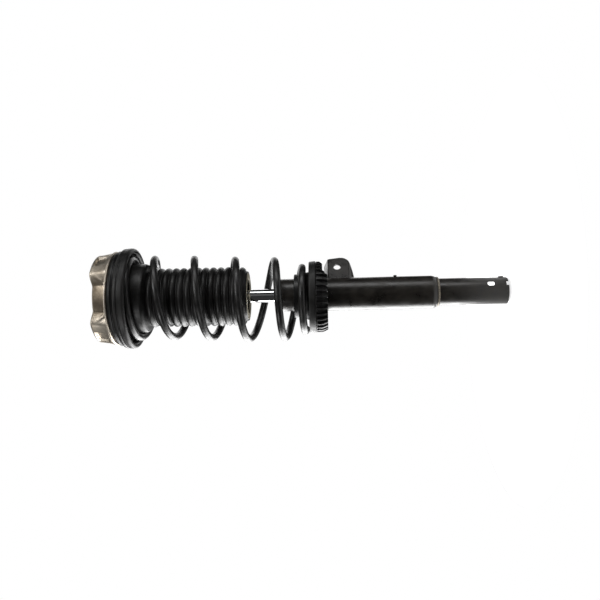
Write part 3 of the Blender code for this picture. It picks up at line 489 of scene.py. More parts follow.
def weld_bead():
    radius, bottom, top = node_size("lower_weld_bead")
    inner = SPIGOT_RADIUS + 0.05 * MM
    section = [(inner, bottom), (radius - 1.6 * MM, bottom + 0.6 * MM),
               (radius, bottom + 2.2 * MM), (radius - 0.2 * MM, top), (inner, top)]
    bm = spun(rounded(section, 1.2 * MM), 256)
    for vert in bm.verts:
        flat = vert.co.to_2d()
        if flat.length < inner + 0.5 * MM:
            continue
        turn = math.atan2(flat.y, flat.x)
        wave = abs(math.sin(turn * 17.0 + 260.0 * (vert.co.z - bottom)))
        push = 0.35 * MM * (wave - 0.5) * math.cos(turn * 3.0 + 0.4)
        vert.co.xy = flat.normalized() * (flat.length - 0.3 * MM + push)
    return piece("weld_scales", bm, WELD_AND_HIGHLIGHT, "strut_body", ["lower_weld_bead"])


reservoir()
weld_bead()
print("reservoir from", round(TUBE_BOTTOM, 4), "to", round(TUBE_TOP, 4))

# %% [markdown]
# ## Lower tube
# The narrow tube goes into the wheel carrier's clamp. A slot for the clamp's pin goes through
# both walls, longer in the back one, and the end has a notch in line with it. They are cut
# with a Boolean modifier that is applied, so that the mesh itself is final.

# %% Lower tube with slot and notch
SLOT_X = 12.0 * MM
SLOT_Z = 29.0 * MM
SLOT_SIZE = (6.6 * MM, 12.5 * MM)
BACK_SLOT_Z = 23.5 * MM
BACK_SLOT_SIZE = (6.6 * MM, 23.5 * MM)
NOTCH_SIZE = (6.0 * MM, 4.0 * MM)


def prism(outline, reach):
    """A closed solid: a flat outline of points, drawn out along a vector."""
    bm = bmesh.new()
    face = bm.faces.new([bm.verts.new(point) for point in outline])
    grown = bmesh.ops.extrude_face_region(bm, geom=[face], use_keep_orig=True)
    moved = [part for part in grown["geom"] if isinstance(part, bmesh.types.BMVert)]
    bmesh.ops.translate(bm, verts=moved, vec=reach)
    tidy(bm)
    return bm


def slab(corners, low, high):
    """A prism along Y from (x, z) corners."""
    return prism([(x, low, z) for x, z in corners], (0.0, high - low, 0.0))


def cut_away(target, bms, operation="DIFFERENCE"):
    """Cuts a finished piece by other solids and leaves only its mesh."""
    for n, bm in enumerate(bms):
        mesh = bpy.data.meshes.new("cutter")
        bm.to_mesh(mesh)
        bm.free()
        tool = bpy.data.objects.new("cutter", mesh)
        bpy.context.scene.collection.objects.link(tool)
        step = target.modifiers.new(f"cut_{n}", "BOOLEAN")
        step.operation = operation
        step.solver = "EXACT"
        step.object = tool
        bpy.context.view_layer.update()
        shape = bpy.data.meshes.new_from_object(
            target.evaluated_get(bpy.context.evaluated_depsgraph_get()))
        target.modifiers.clear()
        old = target.data
        target.data = shape
        bpy.data.meshes.remove(old)
        bpy.data.objects.remove(tool)
    target.data.shade_smooth()
    target.data.set_sharp_from_angle(angle=math.radians(35.0))


def stadium(x, z, width, length, steps=12):
    radius = width / 2.0
    reach = length / 2.0 - radius
    corners = []
    for side in (1.0, -1.0):
        for n in range(steps + 1):
            turn = math.pi * n / steps + (0.0 if side > 0.0 else math.pi)
            corners.append((x + radius * math.cos(turn), z + side * reach
                            + radius * math.sin(turn)))
    return corners


def spigot():
    bore = SPIGOT_RADIUS - SPIGOT_WALL
    section = [(bore, SPIGOT_BOTTOM), (SPIGOT_RADIUS, SPIGOT_BOTTOM),
               (SPIGOT_RADIUS, SPIGOT_TOP), (bore, SPIGOT_TOP)]
    made = piece("spigot", spun(rounded(section, 0.8 * MM)), DIP_PAINT, "strut_body",
                 ["lower_tube"])
    reach = 1.2 * SPIGOT_RADIUS
    slot_cut = slab(stadium(SLOT_X, SLOT_Z, *SLOT_SIZE), -reach, 0.0)
    back_cut = slab(stadium(SLOT_X, BACK_SLOT_Z, *BACK_SLOT_SIZE), 0.0, reach)
    half = NOTCH_SIZE[0] / 2.0
    corners = [(SLOT_X - half, -2 * MM), (SLOT_X + half, -2 * MM),
               (SLOT_X + half, NOTCH_SIZE[1]), (SLOT_X - half, NOTCH_SIZE[1])]
    cut_away(made, [slot_cut, back_cut, slab(corners, -reach, 0.0)])
    return made


spigot()

# %% [markdown]
# ## Small welded blocks
# The locating lug and the harness tab are plain blocks. A cube is scaled to the node's box,
# sunk a little into the tube, and its edges bevelled, so they catch a highlight as stamped
# steel does.

# %% Lug and tab
SUNK = 0.4 * MM


def block(name, node_name, bevel):
    low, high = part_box(node_name)
    bm = bmesh.new()
    bmesh.ops.create_cube(bm, size=1.0)
    size = high - low
    middle = (low + high) / 2.0
    middle.x -= SUNK
    bmesh.ops.scale(bm, verts=bm.verts, vec=size)
    bmesh.ops.translate(bm, verts=bm.verts, vec=middle)
    bmesh.ops.bevel(bm, geom=bm.edges[:], offset=bevel, segments=3, profile=0.5,
                    affect="EDGES", material=-1)
    return piece(name, bm, DIP_PAINT, "strut_body", [node_name])


block("clamp_lug", "locating_lug", 0.6 * MM)
block("harness_clip_tab", "harness_tab", 0.6 * MM)

# %% [markdown]
# ## Link bracket
# One pressing of 3 mm sheet: a front plate with the hole for the stabiliser link, and two
# walls that lean back to the tube. The channel is a thin section extruded away from the tube,
# with its bends rounded. Its outline, the tube's curve and the hole are then cut, and the
# whole is turned to the side where the link hangs.

# %% Link bracket
BRACKET_SHEET = 3.0 * MM
BRACKET_TURN = math.radians(40.0)
BRACKET_FRONT = -8.0 * MM
BRACKET_BACK = 12.0 * MM
BRACKET_REACH = TUBE_RADIUS + 49.3 * MM
BRACKET_CURVE = 23.0 * MM
HOLE_REACH = TUBE_RADIUS + 27.9 * MM
HOLE_RADIUS = 6.25 * MM
WALL_FOOT = 10.0 * MM
WALL_HEAD = 7.0 * MM


def link_bracket():
    low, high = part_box("link_bracket")
    front, back = BRACKET_FRONT, BRACKET_BACK
    foot, head = low.z + WALL_FOOT, high.z - WALL_HEAD
    outer = [(back, low.z), (front, foot), (front, head), (back, high.z)]
    inner = [(back, high.z - 1.05 * BRACKET_SHEET),
             (front + BRACKET_SHEET, head - 0.75 * BRACKET_SHEET),
             (front + BRACKET_SHEET, foot + 0.75 * BRACKET_SHEET),
             (back, low.z + 1.1 * BRACKET_SHEET)]
    ring = rounded(outer + inner, 2.4 * MM, 6)
    start = 0.6 * TUBE_RADIUS
    bm = prism([(start, p[0], p[1]) for p in ring], (BRACKET_REACH - start, 0.0, 0.0))
    made = piece("link_bracket_pressing", bm, DIP_PAINT, "strut_body", ["link_bracket"])
    span = BRACKET_REACH - TUBE_RADIUS
    outline = [(0.0, high.z + MM), (BRACKET_REACH - 0.07 * span, high.z + MM),
               (BRACKET_REACH - 0.06 * span, head),
               (BRACKET_REACH, 0.5 * (low.z + high.z))]
    for n in range(17):
        turn = math.radians(90.0 * n / 16.0)
        outline.append((TUBE_RADIUS + span * math.cos(turn),
                        low.z + BRACKET_CURVE * (1.0 - math.sin(turn))))
    outline.append((0.0, low.z - MM))
    cut_away(made, [slab(rounded(outline, 5.0 * MM, 6), front - MM, back + MM)], "INTERSECT")
    tube = spun([(0.0, low.z - 9 * MM), (TUBE_RADIUS + 0.1 * MM, low.z - 9 * MM),
                 (TUBE_RADIUS + 0.1 * MM, high.z + 9 * MM), (0.0, high.z + 9 * MM)])
    height = high.z - BRACKET_CURVE
    hole = [(HOLE_REACH + HOLE_RADIUS * math.cos(math.tau * n / 48),
             height + HOLE_RADIUS * math.sin(math.tau * n / 48)) for n in range(48)]
    cut_away(made, [tube, slab(hole, front - MM, front + BRACKET_SHEET + MM)])
    made.data.transform(Matrix.Rotation(BRACKET_TURN, 4, "Z"))
    return made


link_bracket()

# %% [markdown]
# ## Coil spring
# The wire's centre line is a right-handed helix. Its pitch opens from the closed end turns,
# the lower coils lean and drift sideways, and the lowest one draws in to sit on the seat. A
# ring of edges would need lofting by hand, so the sweep is a curve with a round bevel, turned
# into a mesh. The solid's box gives the top and bottom.

# %% Coil spring
WIRE_RADIUS = 6.25 * MM
COIL_RADIUS = 66.25 * MM
TAIL_RADIUS = 54.0 * MM
END_PITCH = 13.0 * MM
COIL_START = -0.1
COIL_END = 5.55
COIL_LEAN = 5.3 * MM
COIL_DRIFT = -7.5 * MM
COIL_STEPS = 72


def openness(turn):
    """0 where the coil is closed, at both ends, and 1 where it is free."""
    return min(smooth((turn + 0.2) / 1.4), smooth((5.6 - turn) / 1.8))


def coil_line(top, bottom):
    steps = round((COIL_END - COIL_START) * COIL_STEPS)
    size = (COIL_END - COIL_START) / steps
    shares = [openness(COIL_START + (n + 0.5) * size) for n in range(steps)]
    extra = (top - bottom - END_PITCH * (COIL_END - COIL_START)) / sum(shares)
    height = top
    line = []
    for n in range(steps + 1):
        turn = COIL_START + n * size
        radius = COIL_RADIUS + (TAIL_RADIUS - COIL_RADIUS) * smooth((turn - 4.3) / 0.7)
        lean = COIL_LEAN * smooth((turn - 1.2) / 2.2) * (1.0 - smooth((turn - 4.9) / 0.65))
        drift = COIL_DRIFT * smooth((turn - 1.0) / 3.4)
        angle = -math.tau * turn
        line.append((drift + radius * math.cos(angle), radius * math.sin(angle),
                     height - lean * math.cos(angle)))
        if n < steps:
            height -= END_PITCH * size + extra * shares[n]
    return line


def swept(name, line, radius, sides):
    """A mesh tube along a line, with flat ends."""
    curve = bpy.data.curves.new(name, "CURVE")
    curve.dimensions = "3D"
    curve.bevel_depth = radius
    curve.bevel_resolution = sides // 4
    curve.use_fill_caps = True
    spline = curve.splines.new("POLY")
    spline.points.add(len(line) - 1)
    for point, place in zip(spline.points, line):
        point.co = (*place, 1.0)
    holder = bpy.data.objects.new(name, curve)
    bpy.context.scene.collection.objects.link(holder)
    bpy.context.view_layer.update()
    mesh = bpy.data.meshes.new_from_object(
        holder.evaluated_get(bpy.context.evaluated_depsgraph_get()))
    bpy.data.objects.remove(holder)
    bm = bmesh.new()
    bm.from_mesh(mesh)
    bpy.data.meshes.remove(mesh)
    tidy(bm)
    return bm


SPRING_LOW, SPRING_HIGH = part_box("coil_spring")


def coil_spring():
    line = coil_line(SPRING_HIGH.z - WIRE_RADIUS, SPRING_LOW.z + WIRE_RADIUS)
    bm = swept("coil", line, WIRE_RADIUS, 28)
    caps = [face for face in bm.faces if len(face.verts) > 4]
    rims = list({edge for face in caps for edge in face.edges})
    bmesh.ops.bevel(bm, geom=rims, offset=1.2 * MM, segments=3, profile=0.5, affect="EDGES",
                    material=-1)
    made = piece("spring_coil", bm, POWDER_COAT, "strut_body", ["coil_spring"])
    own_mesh(made)
    return made


coil_spring()

# %% [markdown]
# ## Piston rod
# A plain bar of hard chrome, with a shoulder, and a thread at its top for the nut. The thread
# is a stack of small ridges in the section, one for each 1.5 mm of pitch.

# %% Piston rod
ROD_RADIUS = 11.0 * MM
ROD_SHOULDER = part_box("upper_spring_seat")[0].z + 1.4 * MM
THREAD_RADIUS = 7.0 * MM
THREAD_PITCH = 1.5 * MM
PISTON_SEAT = 33.3 * MM


def piston_rod():
    radius, bottom, top = node_size("piston_rod")
    foot = bottom + PISTON_SEAT
    section = [(0.0, bottom), (6.0 * MM, bottom), (6.0 * MM, foot), (radius, foot),
               (radius, ROD_SHOULDER - 1.2 * MM), (radius - 1.2 * MM, ROD_SHOULDER),
               (THREAD_RADIUS, ROD_SHOULDER)]
    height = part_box("rod_washer")[1].z
    while height < top - 2.0 * MM:
        section += [(THREAD_RADIUS, height),
                    (THREAD_RADIUS - 0.7 * MM, height + 0.5 * THREAD_PITCH)]
        height += THREAD_PITCH
    section += [(THREAD_RADIUS, height), (THREAD_RADIUS - 1.2 * MM, top), (0.0, top)]
    return piece("chrome_rod", spun(section, 64), CHROME, "rod_assembly", ["piston_rod"])


piston_rod()

# %% [markdown]
# ## Tube cap and the seat's support
# The reservoir's end is rolled over a steel cap, and a pressed ring below the spring seat
# carries its load into the tube. Both are turned sections with a bend where the press rolled
# the sheet.

# %% Cap and support
def tube_cap():
    radius, bottom, top = node_size("tube_cap")
    bore = ROD_RADIUS + 0.6 * MM
    section = [(bore, bottom), (radius, bottom), (radius, top - 0.6 * MM),
               (radius - 2.2 * MM, top), (radius - 6.5 * MM, top),
               (radius - 8.0 * MM, top - 1.6 * MM), (bore + 1.0 * MM, top - 1.2 * MM),
               (bore, top - 1.6 * MM)]
    return piece("rolled_cap", spun(rounded(section, 0.8 * MM)), DIP_PAINT, "strut_body",
                 ["tube_cap"])


def seat_support():
    radius, bottom, top = node_size("lower_seat_support")
    bore = TUBE_RADIUS + 0.2 * MM
    sheet = 3.0 * MM
    section = [(bore, bottom), (bore + sheet, bottom), (bore + sheet, top - sheet),
               (radius, top - sheet), (radius, top), (bore, top)]
    return piece("seat_support_ring", spun(rounded(section, 1.4 * MM)), DIP_PAINT,
                 "strut_body", ["lower_seat_support"])


tube_cap()
seat_support()

# %% [markdown]
# ## Lower spring seat
# The nylon seat is one moulding: a hub round the tube, a cone that centres the spring, a
# flange under the spring's pad, and a crown of ribs below. It starts as a spun shell. Its
# rings then slide sideways, because the flange isn't quite centred on the tube, and the wall's
# faces between the ribs are pushed in with the ribs' sides left standing. Around the bracket
# the ribs are shorter.

# %% Lower spring seat
RIB_COUNT = 36
RIB_DEPTH = 5.0 * MM
SEAT_OFFSET = -4.0 * MM
HUB_OFFSET = -2.0 * MM
RIB_LIFT = 8.2 * MM
RIB_LIFT_TURN = math.radians(20.0)
_, SEAT_BOTTOM, HUB_TOP = node_size("lower_spring_seat")
SEAT_RADIUS = 60.0 * MM
RIB_TOP = SEAT_BOTTOM + 19.4 * MM
FLANGE_TOP = RIB_TOP + 8.5 * MM


def shift_rings(bm, low, high):
    """Slides rings off centre: none at the bore, more towards the flange."""
    for vert in bm.verts:
        radius = vert.co.to_2d().length
        if radius > low:
            vert.co.x += HUB_OFFSET + (SEAT_OFFSET - HUB_OFFSET) * smooth(
                (radius - high) / (8.0 * MM))


def spring_seat():
    hub = TUBE_RADIUS + 9.5 * MM
    bore = TUBE_RADIUS + 0.6 * MM
    hub_base = FLANGE_TOP + 16.3 * MM
    cone = hub + 5.0 * MM
    flange = SEAT_RADIUS - 3.0 * MM
    wall = SEAT_RADIUS - 10.0 * MM
    section = [
        (bore, HUB_TOP), (hub, HUB_TOP), (hub, hub_base), (cone, FLANGE_TOP),
        (flange, FLANGE_TOP), (flange, RIB_TOP), (SEAT_RADIUS, RIB_TOP - 0.3 * MM),
        (SEAT_RADIUS, SEAT_BOTTOM + 9.0 * MM), (SEAT_RADIUS - 4.0 * MM, SEAT_BOTTOM),
        (wall, SEAT_BOTTOM), (wall, RIB_TOP - 0.7 * MM), (bore, RIB_TOP - 0.7 * MM),
    ]
    steps = 8 * RIB_COUNT
    bm = spun(rounded(section, 1.3 * MM), steps)
    for vert in bm.verts:
        flat = vert.co.to_2d()
        turn = math.atan2(flat.y, flat.x)
        share = (turn / math.tau * RIB_COUNT) % 1.0
        gap = smooth((0.36 - abs(share - 0.5)) / 0.1)
        if flat.length > wall + 1.5 * MM and vert.co.z < RIB_TOP - 0.2 * MM:
            depth = min(RIB_DEPTH, flat.length - wall - 2.2 * MM)
            drop = smooth((RIB_TOP - 1.0 * MM - vert.co.z) / (1.2 * MM))
            vert.co.xy = flat.normalized() * (flat.length - depth * gap * drop)
        near = smooth((math.cos(turn - RIB_LIFT_TURN) - 0.40) / 0.14)
        if vert.co.z < RIB_TOP - 2.0 * MM and flat.length > wall - 0.5 * MM:
            fall = (RIB_TOP - vert.co.z) / (RIB_TOP - SEAT_BOTTOM)
            vert.co.z += RIB_LIFT * near * fall
    shift_rings(bm, bore + MM, hub + 8.0 * MM)
    return piece("ribbed_spring_seat", bm, NYLON, "strut_body", ["lower_spring_seat"],
                 sharp=25.0)


spring_seat()
print("spring seat with", RIB_COUNT, "ribs")

# %% [markdown]
# ## Lower spring pad
# A rubber ring lies on the flange and wraps over its edge, so that the coil never meets the
# nylon. A shallow groove guides the lowest coil, and a raised bead closes the edge.

# %% Lower spring pad
def spring_pad():
    foot = TUBE_RADIUS + 16.0 * MM
    inside = SEAT_RADIUS - 2.7 * MM
    outer = SEAT_RADIUS + 0.5 * MM
    base = FLANGE_TOP + 0.3 * MM
    top = base + 2.7 * MM
    low = RIB_TOP + 0.3 * MM
    section = [(foot, base), (inside, base), (inside, low), (outer, low),
               (outer + 0.2 * MM, low + 2.5 * MM), (outer - 0.5 * MM, top - 2.0 * MM),
               (outer - 1.2 * MM, top), (outer - 4.0 * MM, top),
               (outer - 6.0 * MM, top - 0.5 * MM), (outer - 11.0 * MM, top - 0.5 * MM),
               (foot + 1.0 * MM, top), (foot, top)]
    bm = spun(rounded(section, 0.9 * MM))
    shift_rings(bm, 0.0, foot + 1.0 * MM)
    return piece("spring_seat_pad", bm, PAD_RUBBER, "strut_body", ["lower_spring_pad"])


spring_pad()

# %% [markdown]
# ## Dust boot
# A blow-moulded bellows: a smooth collar held in the top pad, twelve round folds, and a narrow
# mouth. The section's outside is a row of arches, and the inside follows it two millimetres
# in, so it is drawn by a short loop and spun. It closes up as the strut shortens. The ring in
# its mouth shows only as a thin edge, so it is shorter than its solid.

# %% Dust boot
BOOT_PITCH = 12.7 * MM
BOOT_FOLDS = 12
BOOT_VALLEY = 44.3 * MM
BOOT_RIDGE = 5.9 * MM
COLLAR_RADIUS = 58.5 * MM
RING_HIDDEN = 0.35


def dust_boot():
    _, bottom, top = node_size("dust_boot")
    wall = 2.0 * MM
    first = bottom + 17.6 * MM
    outer = [(40.3 * MM, bottom - 3.4 * MM), (41.6 * MM, bottom - 3.4 * MM),
             (43.0 * MM, bottom + 0.2 * MM), (47.0 * MM, bottom + 2.2 * MM),
             (49.0 * MM, bottom + 4.8 * MM), (48.8 * MM, bottom + 8.6 * MM),
             (44.8 * MM, bottom + 10.4 * MM)]
    for n in range(BOOT_FOLDS):
        for k in range(12):
            phase = -0.5 + (k + 0.5) / 12.0
            arch = abs(math.cos(math.pi * phase)) ** 0.62
            outer.append((BOOT_VALLEY + BOOT_RIDGE * arch, first + (n + phase) * BOOT_PITCH))
    shoulder = top - 34.0 * MM
    outer += [(45.2 * MM, shoulder - 4.0 * MM), (52.0 * MM, shoulder - 2.2 * MM),
              (57.2 * MM, shoulder), (COLLAR_RADIUS, shoulder + 3.0 * MM),
              (COLLAR_RADIUS, top)]
    inner = [(p[0] - wall, p[1]) for p in reversed(outer[4:-1])]
    inner.append((40.3 * MM, bottom + 1.6 * MM))
    section = outer + [(COLLAR_RADIUS - wall, top)] + inner
    bm = spun(rounded(section, 0.5 * MM, 2), 96)
    made = piece("bellows_boot", bm, BOOT_RUBBER, "rod_assembly", ["dust_boot"], sharp=50.0)
    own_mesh(made)
    return made


dust_boot()


def mouth_ring():
    radius, bottom, top = node_size("boot_end_ring")
    bottom += RING_HIDDEN * (top - bottom)
    bore = TUBE_RADIUS + 2.5 * MM
    section = [(bore, bottom), (radius - 1.0 * MM, bottom), (radius, bottom + 1.2 * MM),
               (radius, top), (bore + 4.0 * MM, top), (bore + 4.0 * MM, bottom + 2.0 * MM),
               (bore + 1.6 * MM, bottom + 2.0 * MM), (bore, top - 1.0 * MM)]
    return piece("boot_mouth_ring", spun(rounded(section, 0.5 * MM)), CREAM, "boot_end",
                 ["boot_end_ring"])


mouth_ring()
print("boot with", BOOT_FOLDS, "folds")

# %% [markdown]
# ## Upper spring pad and seat
# The top coil sits in a rubber ring whose lip rolls over the wire. Above it a nylon seat
# carries the bearing. Moulding leaves grooves and a parting bead round both, which is where
# the thin highlights come from.

# %% Upper pad and seat
ROD_HOLE = 7.3 * MM


def upper_pad():
    radius, bottom, top = node_size("upper_spring_pad")
    bore = 31.6 * MM
    lip = 4.5 * MM
    inner = radius - 2.0 * lip
    sheet = 2.1 * MM
    section = [(bore, top - sheet), (inner - 3.0 * MM, top - sheet),
               (inner - 0.6 * MM, top - 5.5 * MM)]
    for n in range(13):
        turn = math.radians(180.0 + 15.0 * n)
        section.append((inner + lip + lip * math.cos(turn),
                        bottom - 4.0 * MM + lip + lip * math.sin(turn)))
    section += [(radius - 0.2 * MM, bottom + 6.8 * MM), (radius - 1.6 * MM, bottom + 7.6 * MM),
                (radius - 1.6 * MM, bottom + 8.8 * MM), (radius - 0.5 * MM, bottom + 9.8 * MM),
                (radius - 1.0 * MM, top - 3.0 * MM), (radius - 4.0 * MM, top), (bore, top)]
    return piece("spring_top_pad", spun(rounded(section, 0.6 * MM), 160), PAD_RUBBER,
                 "rod_assembly", ["upper_spring_pad"])


def upper_seat():
    radius, bottom, top = node_size("upper_spring_seat")
    rim = 9.5 * MM
    shoulder = ROD_SHOULDER + 0.3 * MM
    section = [
        (12.0 * MM, bottom), (radius - 3.0 * MM, bottom), (radius - 1.4 * MM, bottom + 1.2 * MM),
        (radius - 1.4 * MM, bottom + 2.4 * MM), (radius, bottom + 3.2 * MM),
        (radius, bottom + 5.6 * MM), (radius - 1.2 * MM, bottom + 6.4 * MM),
        (radius - 1.2 * MM, bottom + 7.6 * MM), (radius - 3.0 * MM, bottom + rim),
        (radius - 7.0 * MM, bottom + rim), (radius - 9.0 * MM, bottom + 0.75 * rim),
        (13.5 * MM, bottom + 0.75 * rim), (12.0 * MM, top), (ROD_HOLE, top),
        (ROD_HOLE, shoulder), (12.0 * MM, shoulder),
    ]
    return piece("bearing_seat", spun(rounded(section, 0.6 * MM), 160), NYLON,
                 "rod_assembly", ["upper_spring_seat"])


upper_pad()
upper_seat()

# %% [markdown]
# ## Bump stop and its cup
# When the strut runs out of travel, its body meets a block of foam: a stack of bulges that
# fold up in order. The cup that holds it is deep-drawn steel.

# %% Bump stop and cup
STOP_BORE = 11.4 * MM
BULGES = 3
BULGE_SHARE = 0.28


def bump_stop():
    _, bottom, top = node_size("bump_stop")
    held = 28.0 * MM
    height = top - bottom
    section = [(STOP_BORE, bottom), (0.5 * held, bottom)]
    for n in range(61):
        share = n / 60.0 * BULGES * BULGE_SHARE
        bulge = abs(math.sin(math.pi * share / BULGE_SHARE)) ** 0.6
        section.append((held * (0.6 + 0.36 * share + 0.13 * bulge * (1.0 - share)),
                        bottom + height * (0.02 + share)))
    section += [(held, bottom + 0.9 * height), (held, top), (STOP_BORE, top)]
    return piece("foam_bump_stop", spun(rounded(section, 0.8 * MM, 2), 72), FOAM,
                 "rod_assembly", ["bump_stop"])


def stop_cup():
    radius, bottom, top = node_size("bump_stop_cup")
    sheet = 2.5 * MM
    section = [(STOP_BORE, top - sheet), (radius - sheet, top - sheet),
               (radius - sheet, bottom), (radius, bottom), (radius, top), (STOP_BORE, top)]
    return piece("drawn_cup", spun(rounded(section, 1.0 * MM)), ZINC, "rod_assembly",
                 ["bump_stop_cup"])


bump_stop()
stop_cup()

# %% [markdown]
# ## Top mount casting
# The housing is die-cast: a thin flange, a drum, and three lobes for the bolts, with ribs that
# run from each lobe down to the flange and hollows that save metal. It is spun as if it were
# lobed all round, and then each point between the lobes is drawn in and down. Low ribs are
# pushed out along the lobes' sides, and fade before the top edge.

# %% Top mount casting
LOBES = (-30.0, -150.0, 90.0)
LOBE_HALF = 23.0
LOBE_EASE = 19.0
MOUNT_BORE = 38.0 * MM
LOBE_RADIUS = 76.0 * MM
WAIST_SHARE = 0.66
BOLT_CIRCLE = 57.0 * MM
INSERT_RADIUS = 7.0 * MM
INSERT_DEPTH = 23.3 * MM
MOUNT_HOLLOW = 5.0 * MM
MOUNT_RIB = 2.2 * MM
WAIST_DROP = 4.5 * MM
FLANGE_RADIUS, MOUNT_BOTTOM, MOUNT_TOP = node_size("mount_housing")


def from_lobe(vert):
    """Degrees from the nearest lobe's middle."""
    turn = math.degrees(math.atan2(vert.co.y, vert.co.x))
    return min(abs((turn - lobe + 180.0) % 360.0 - 180.0) for lobe in LOBES)


def onto_lobe(bm, degrees):
    """Moves a bmesh from the strut's axis to the middle of a lobe's bolt."""
    turn = math.radians(degrees)
    bmesh.ops.translate(bm, verts=bm.verts, vec=(
        BOLT_CIRCLE * math.cos(turn), BOLT_CIRCLE * math.sin(turn), 0.0))


def mount_casting():
    bottom, top = MOUNT_BOTTOM, MOUNT_TOP
    height = top - bottom
    section = [(MOUNT_BORE, bottom), (FLANGE_RADIUS - 2.0 * MM, bottom),
               (FLANGE_RADIUS, bottom + 1.2 * MM), (FLANGE_RADIUS, bottom + 3.0 * MM),
               (FLANGE_RADIUS - 1.5 * MM, bottom + 4.0 * MM)]
    for n in range(13):
        share = n / 12.0
        section.append((LOBE_RADIUS + (3.2 * (1.0 - share) ** 2 - 1.5 * share) * MM,
                        bottom + (4.4 * MM + (height - 7.4 * MM) * share)))
    section += [(LOBE_RADIUS - 4.5 * MM, top - 0.6 * MM), (LOBE_RADIUS - 6.0 * MM, top),
                (MOUNT_BORE + 9.0 * MM, top), (MOUNT_BORE + 1.2 * MM, top),
                (MOUNT_BORE, top - 1.2 * MM)]
    bm = spun(rounded(section, 0.9 * MM, 3), 360)
    base = bottom + 4.2 * MM
    for vert in bm.verts:
        away = from_lobe(vert)
        share = 1.0 - smooth((away - LOBE_HALF) / LOBE_EASE)
        flat = vert.co.to_2d()
        level = (vert.co.z - base) / (top - base)
        if level > 0.0:
            vert.co.z -= WAIST_DROP * (1.0 - share) * smooth(level)
        if level > 0.0 and flat.length > MOUNT_BORE + 2.0 * MM:
            shrink = WAIST_SHARE + (1.0 - WAIST_SHARE) * share
            radius = MOUNT_BORE + (flat.length - MOUNT_BORE) * shrink
            if flat.length > LOBE_RADIUS - 8.0 * MM:
                foot = LOBE_HALF + 4.0 + 11.0 * (1.0 - level)
                rib = smooth(1.0 - abs(away - foot) / 4.2)
                rib *= smooth(4.0 * level) * smooth(1.5 * (0.8 - level))
                hollow = smooth((13.0 - away) / 5.0) * smooth((level - 0.15) / 0.15)
                hollow *= smooth((0.86 - level) / 0.12)
                radius += MOUNT_RIB * rib - MOUNT_HOLLOW * hollow
            vert.co.xy = flat.normalized() * radius
    bmesh.ops.recalc_face_normals(bm, faces=bm.faces)
    made = piece("mount_casting", bm, CAST_ALUMINIUM, "top_mount", ["mount_housing"], sharp=40.0)
    cutters = []
    hole_radius = INSERT_RADIUS + 0.1 * MM
    for degrees in LOBES:
        hole = spun([(0.0, top - INSERT_DEPTH), (hole_radius, top - INSERT_DEPTH),
                     (hole_radius, top + MM), (0.0, top + MM)], 64)
        onto_lobe(hole, degrees)
        cutters.append(hole)
    cut_away(made, cutters)
    return made


mount_casting()

# %% [markdown]
# ## Threaded inserts
# A steel bush with a thread is pressed into each lobe. The thread is a row of small ridges,
# each 1.5 mm apart, which at this size looks the same as a true helix.

# %% Threaded inserts
def threaded_insert(n, degrees):
    low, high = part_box(f"threaded_insert_{n}")
    bore = 5.1 * MM
    section = [(INSERT_RADIUS, low.z), (INSERT_RADIUS, high.z - 0.5 * MM),
               (INSERT_RADIUS - 0.5 * MM, high.z), (bore + 1.0 * MM, high.z)]
    height = high.z - 1.0 * MM
    while height > low.z + THREAD_PITCH:
        section += [(bore, height),
                    (bore + 0.5 * THREAD_PITCH, height - 0.5 * THREAD_PITCH)]
        height -= THREAD_PITCH
    section += [(bore, low.z)]
    bm = spun(section, 48)
    onto_lobe(bm, degrees)
    return piece(f"insert_{n}_thread", bm, ZINC, "top_mount", [f"threaded_insert_{n}"])


for number, lobe in enumerate(LOBES):
    threaded_insert(number + 1, lobe)

# %% [markdown]
# ## Rubber, washer and nut
# A ring of rubber, hollowed at both ends so that it can give, joins the casting to the
# bearing. The nut is a six-sided prism whose top is turned to a cone: a disc's corners are cut
# by intersecting it with a spun blank.

# %% Rubber, washer and nut
def rubber_ring():
    radius, bottom, top = node_size("mount_rubber")
    inner = 24.3 * MM
    middle = 0.5 * (inner + radius)
    height = top - bottom
    section = [(inner, bottom), (inner + 2.0 * MM, bottom), (middle, bottom + 0.25 * height),
               (radius, bottom + 0.05 * height), (radius, top), (radius - 1.5 * MM, top),
               (middle, bottom + 0.72 * height), (inner + 2.0 * MM, bottom + 0.85 * height),
               (inner, bottom + 0.85 * height)]
    return piece("bonded_rubber", spun(rounded(section, 1.4 * MM)), PAD_RUBBER, "top_mount",
                 ["mount_rubber"])


def washer():
    radius, bottom, top = node_size("rod_washer")
    section = [(ROD_HOLE, bottom), (radius, bottom), (radius, top), (ROD_HOLE, top)]
    return piece("plated_washer", spun(rounded(section, 0.5 * MM)), ZINC, "rod_assembly",
                 ["rod_washer"])


def nut():
    _, bottom, top = node_size("rod_nut")
    flats = 22.0 * MM
    corner = flats / 2.0 / math.cos(math.pi / 6.0)
    section = [(ROD_HOLE, bottom), (corner - 0.9 * MM, bottom), (corner, bottom + 0.6 * MM),
               (corner, top - 1.0 * MM), (corner - 1.7 * MM, top), (8.2 * MM, top),
               (ROD_HOLE, top - 0.9 * MM)]
    made = piece("hex_nut", spun(section, 96), ZINC, "rod_assembly", ["rod_nut"])
    bm = bmesh.new()
    bmesh.ops.create_cone(bm, cap_ends=True, segments=6, radius1=corner, radius2=corner,
                          depth=top - bottom + 2.0 * MM)
    bmesh.ops.translate(bm, verts=bm.verts, vec=(0.0, 0.0, 0.5 * (bottom + top)))
    cut_away(made, [bm], "INTERSECT")
    return made


rubber_ring()
washer()
nut()

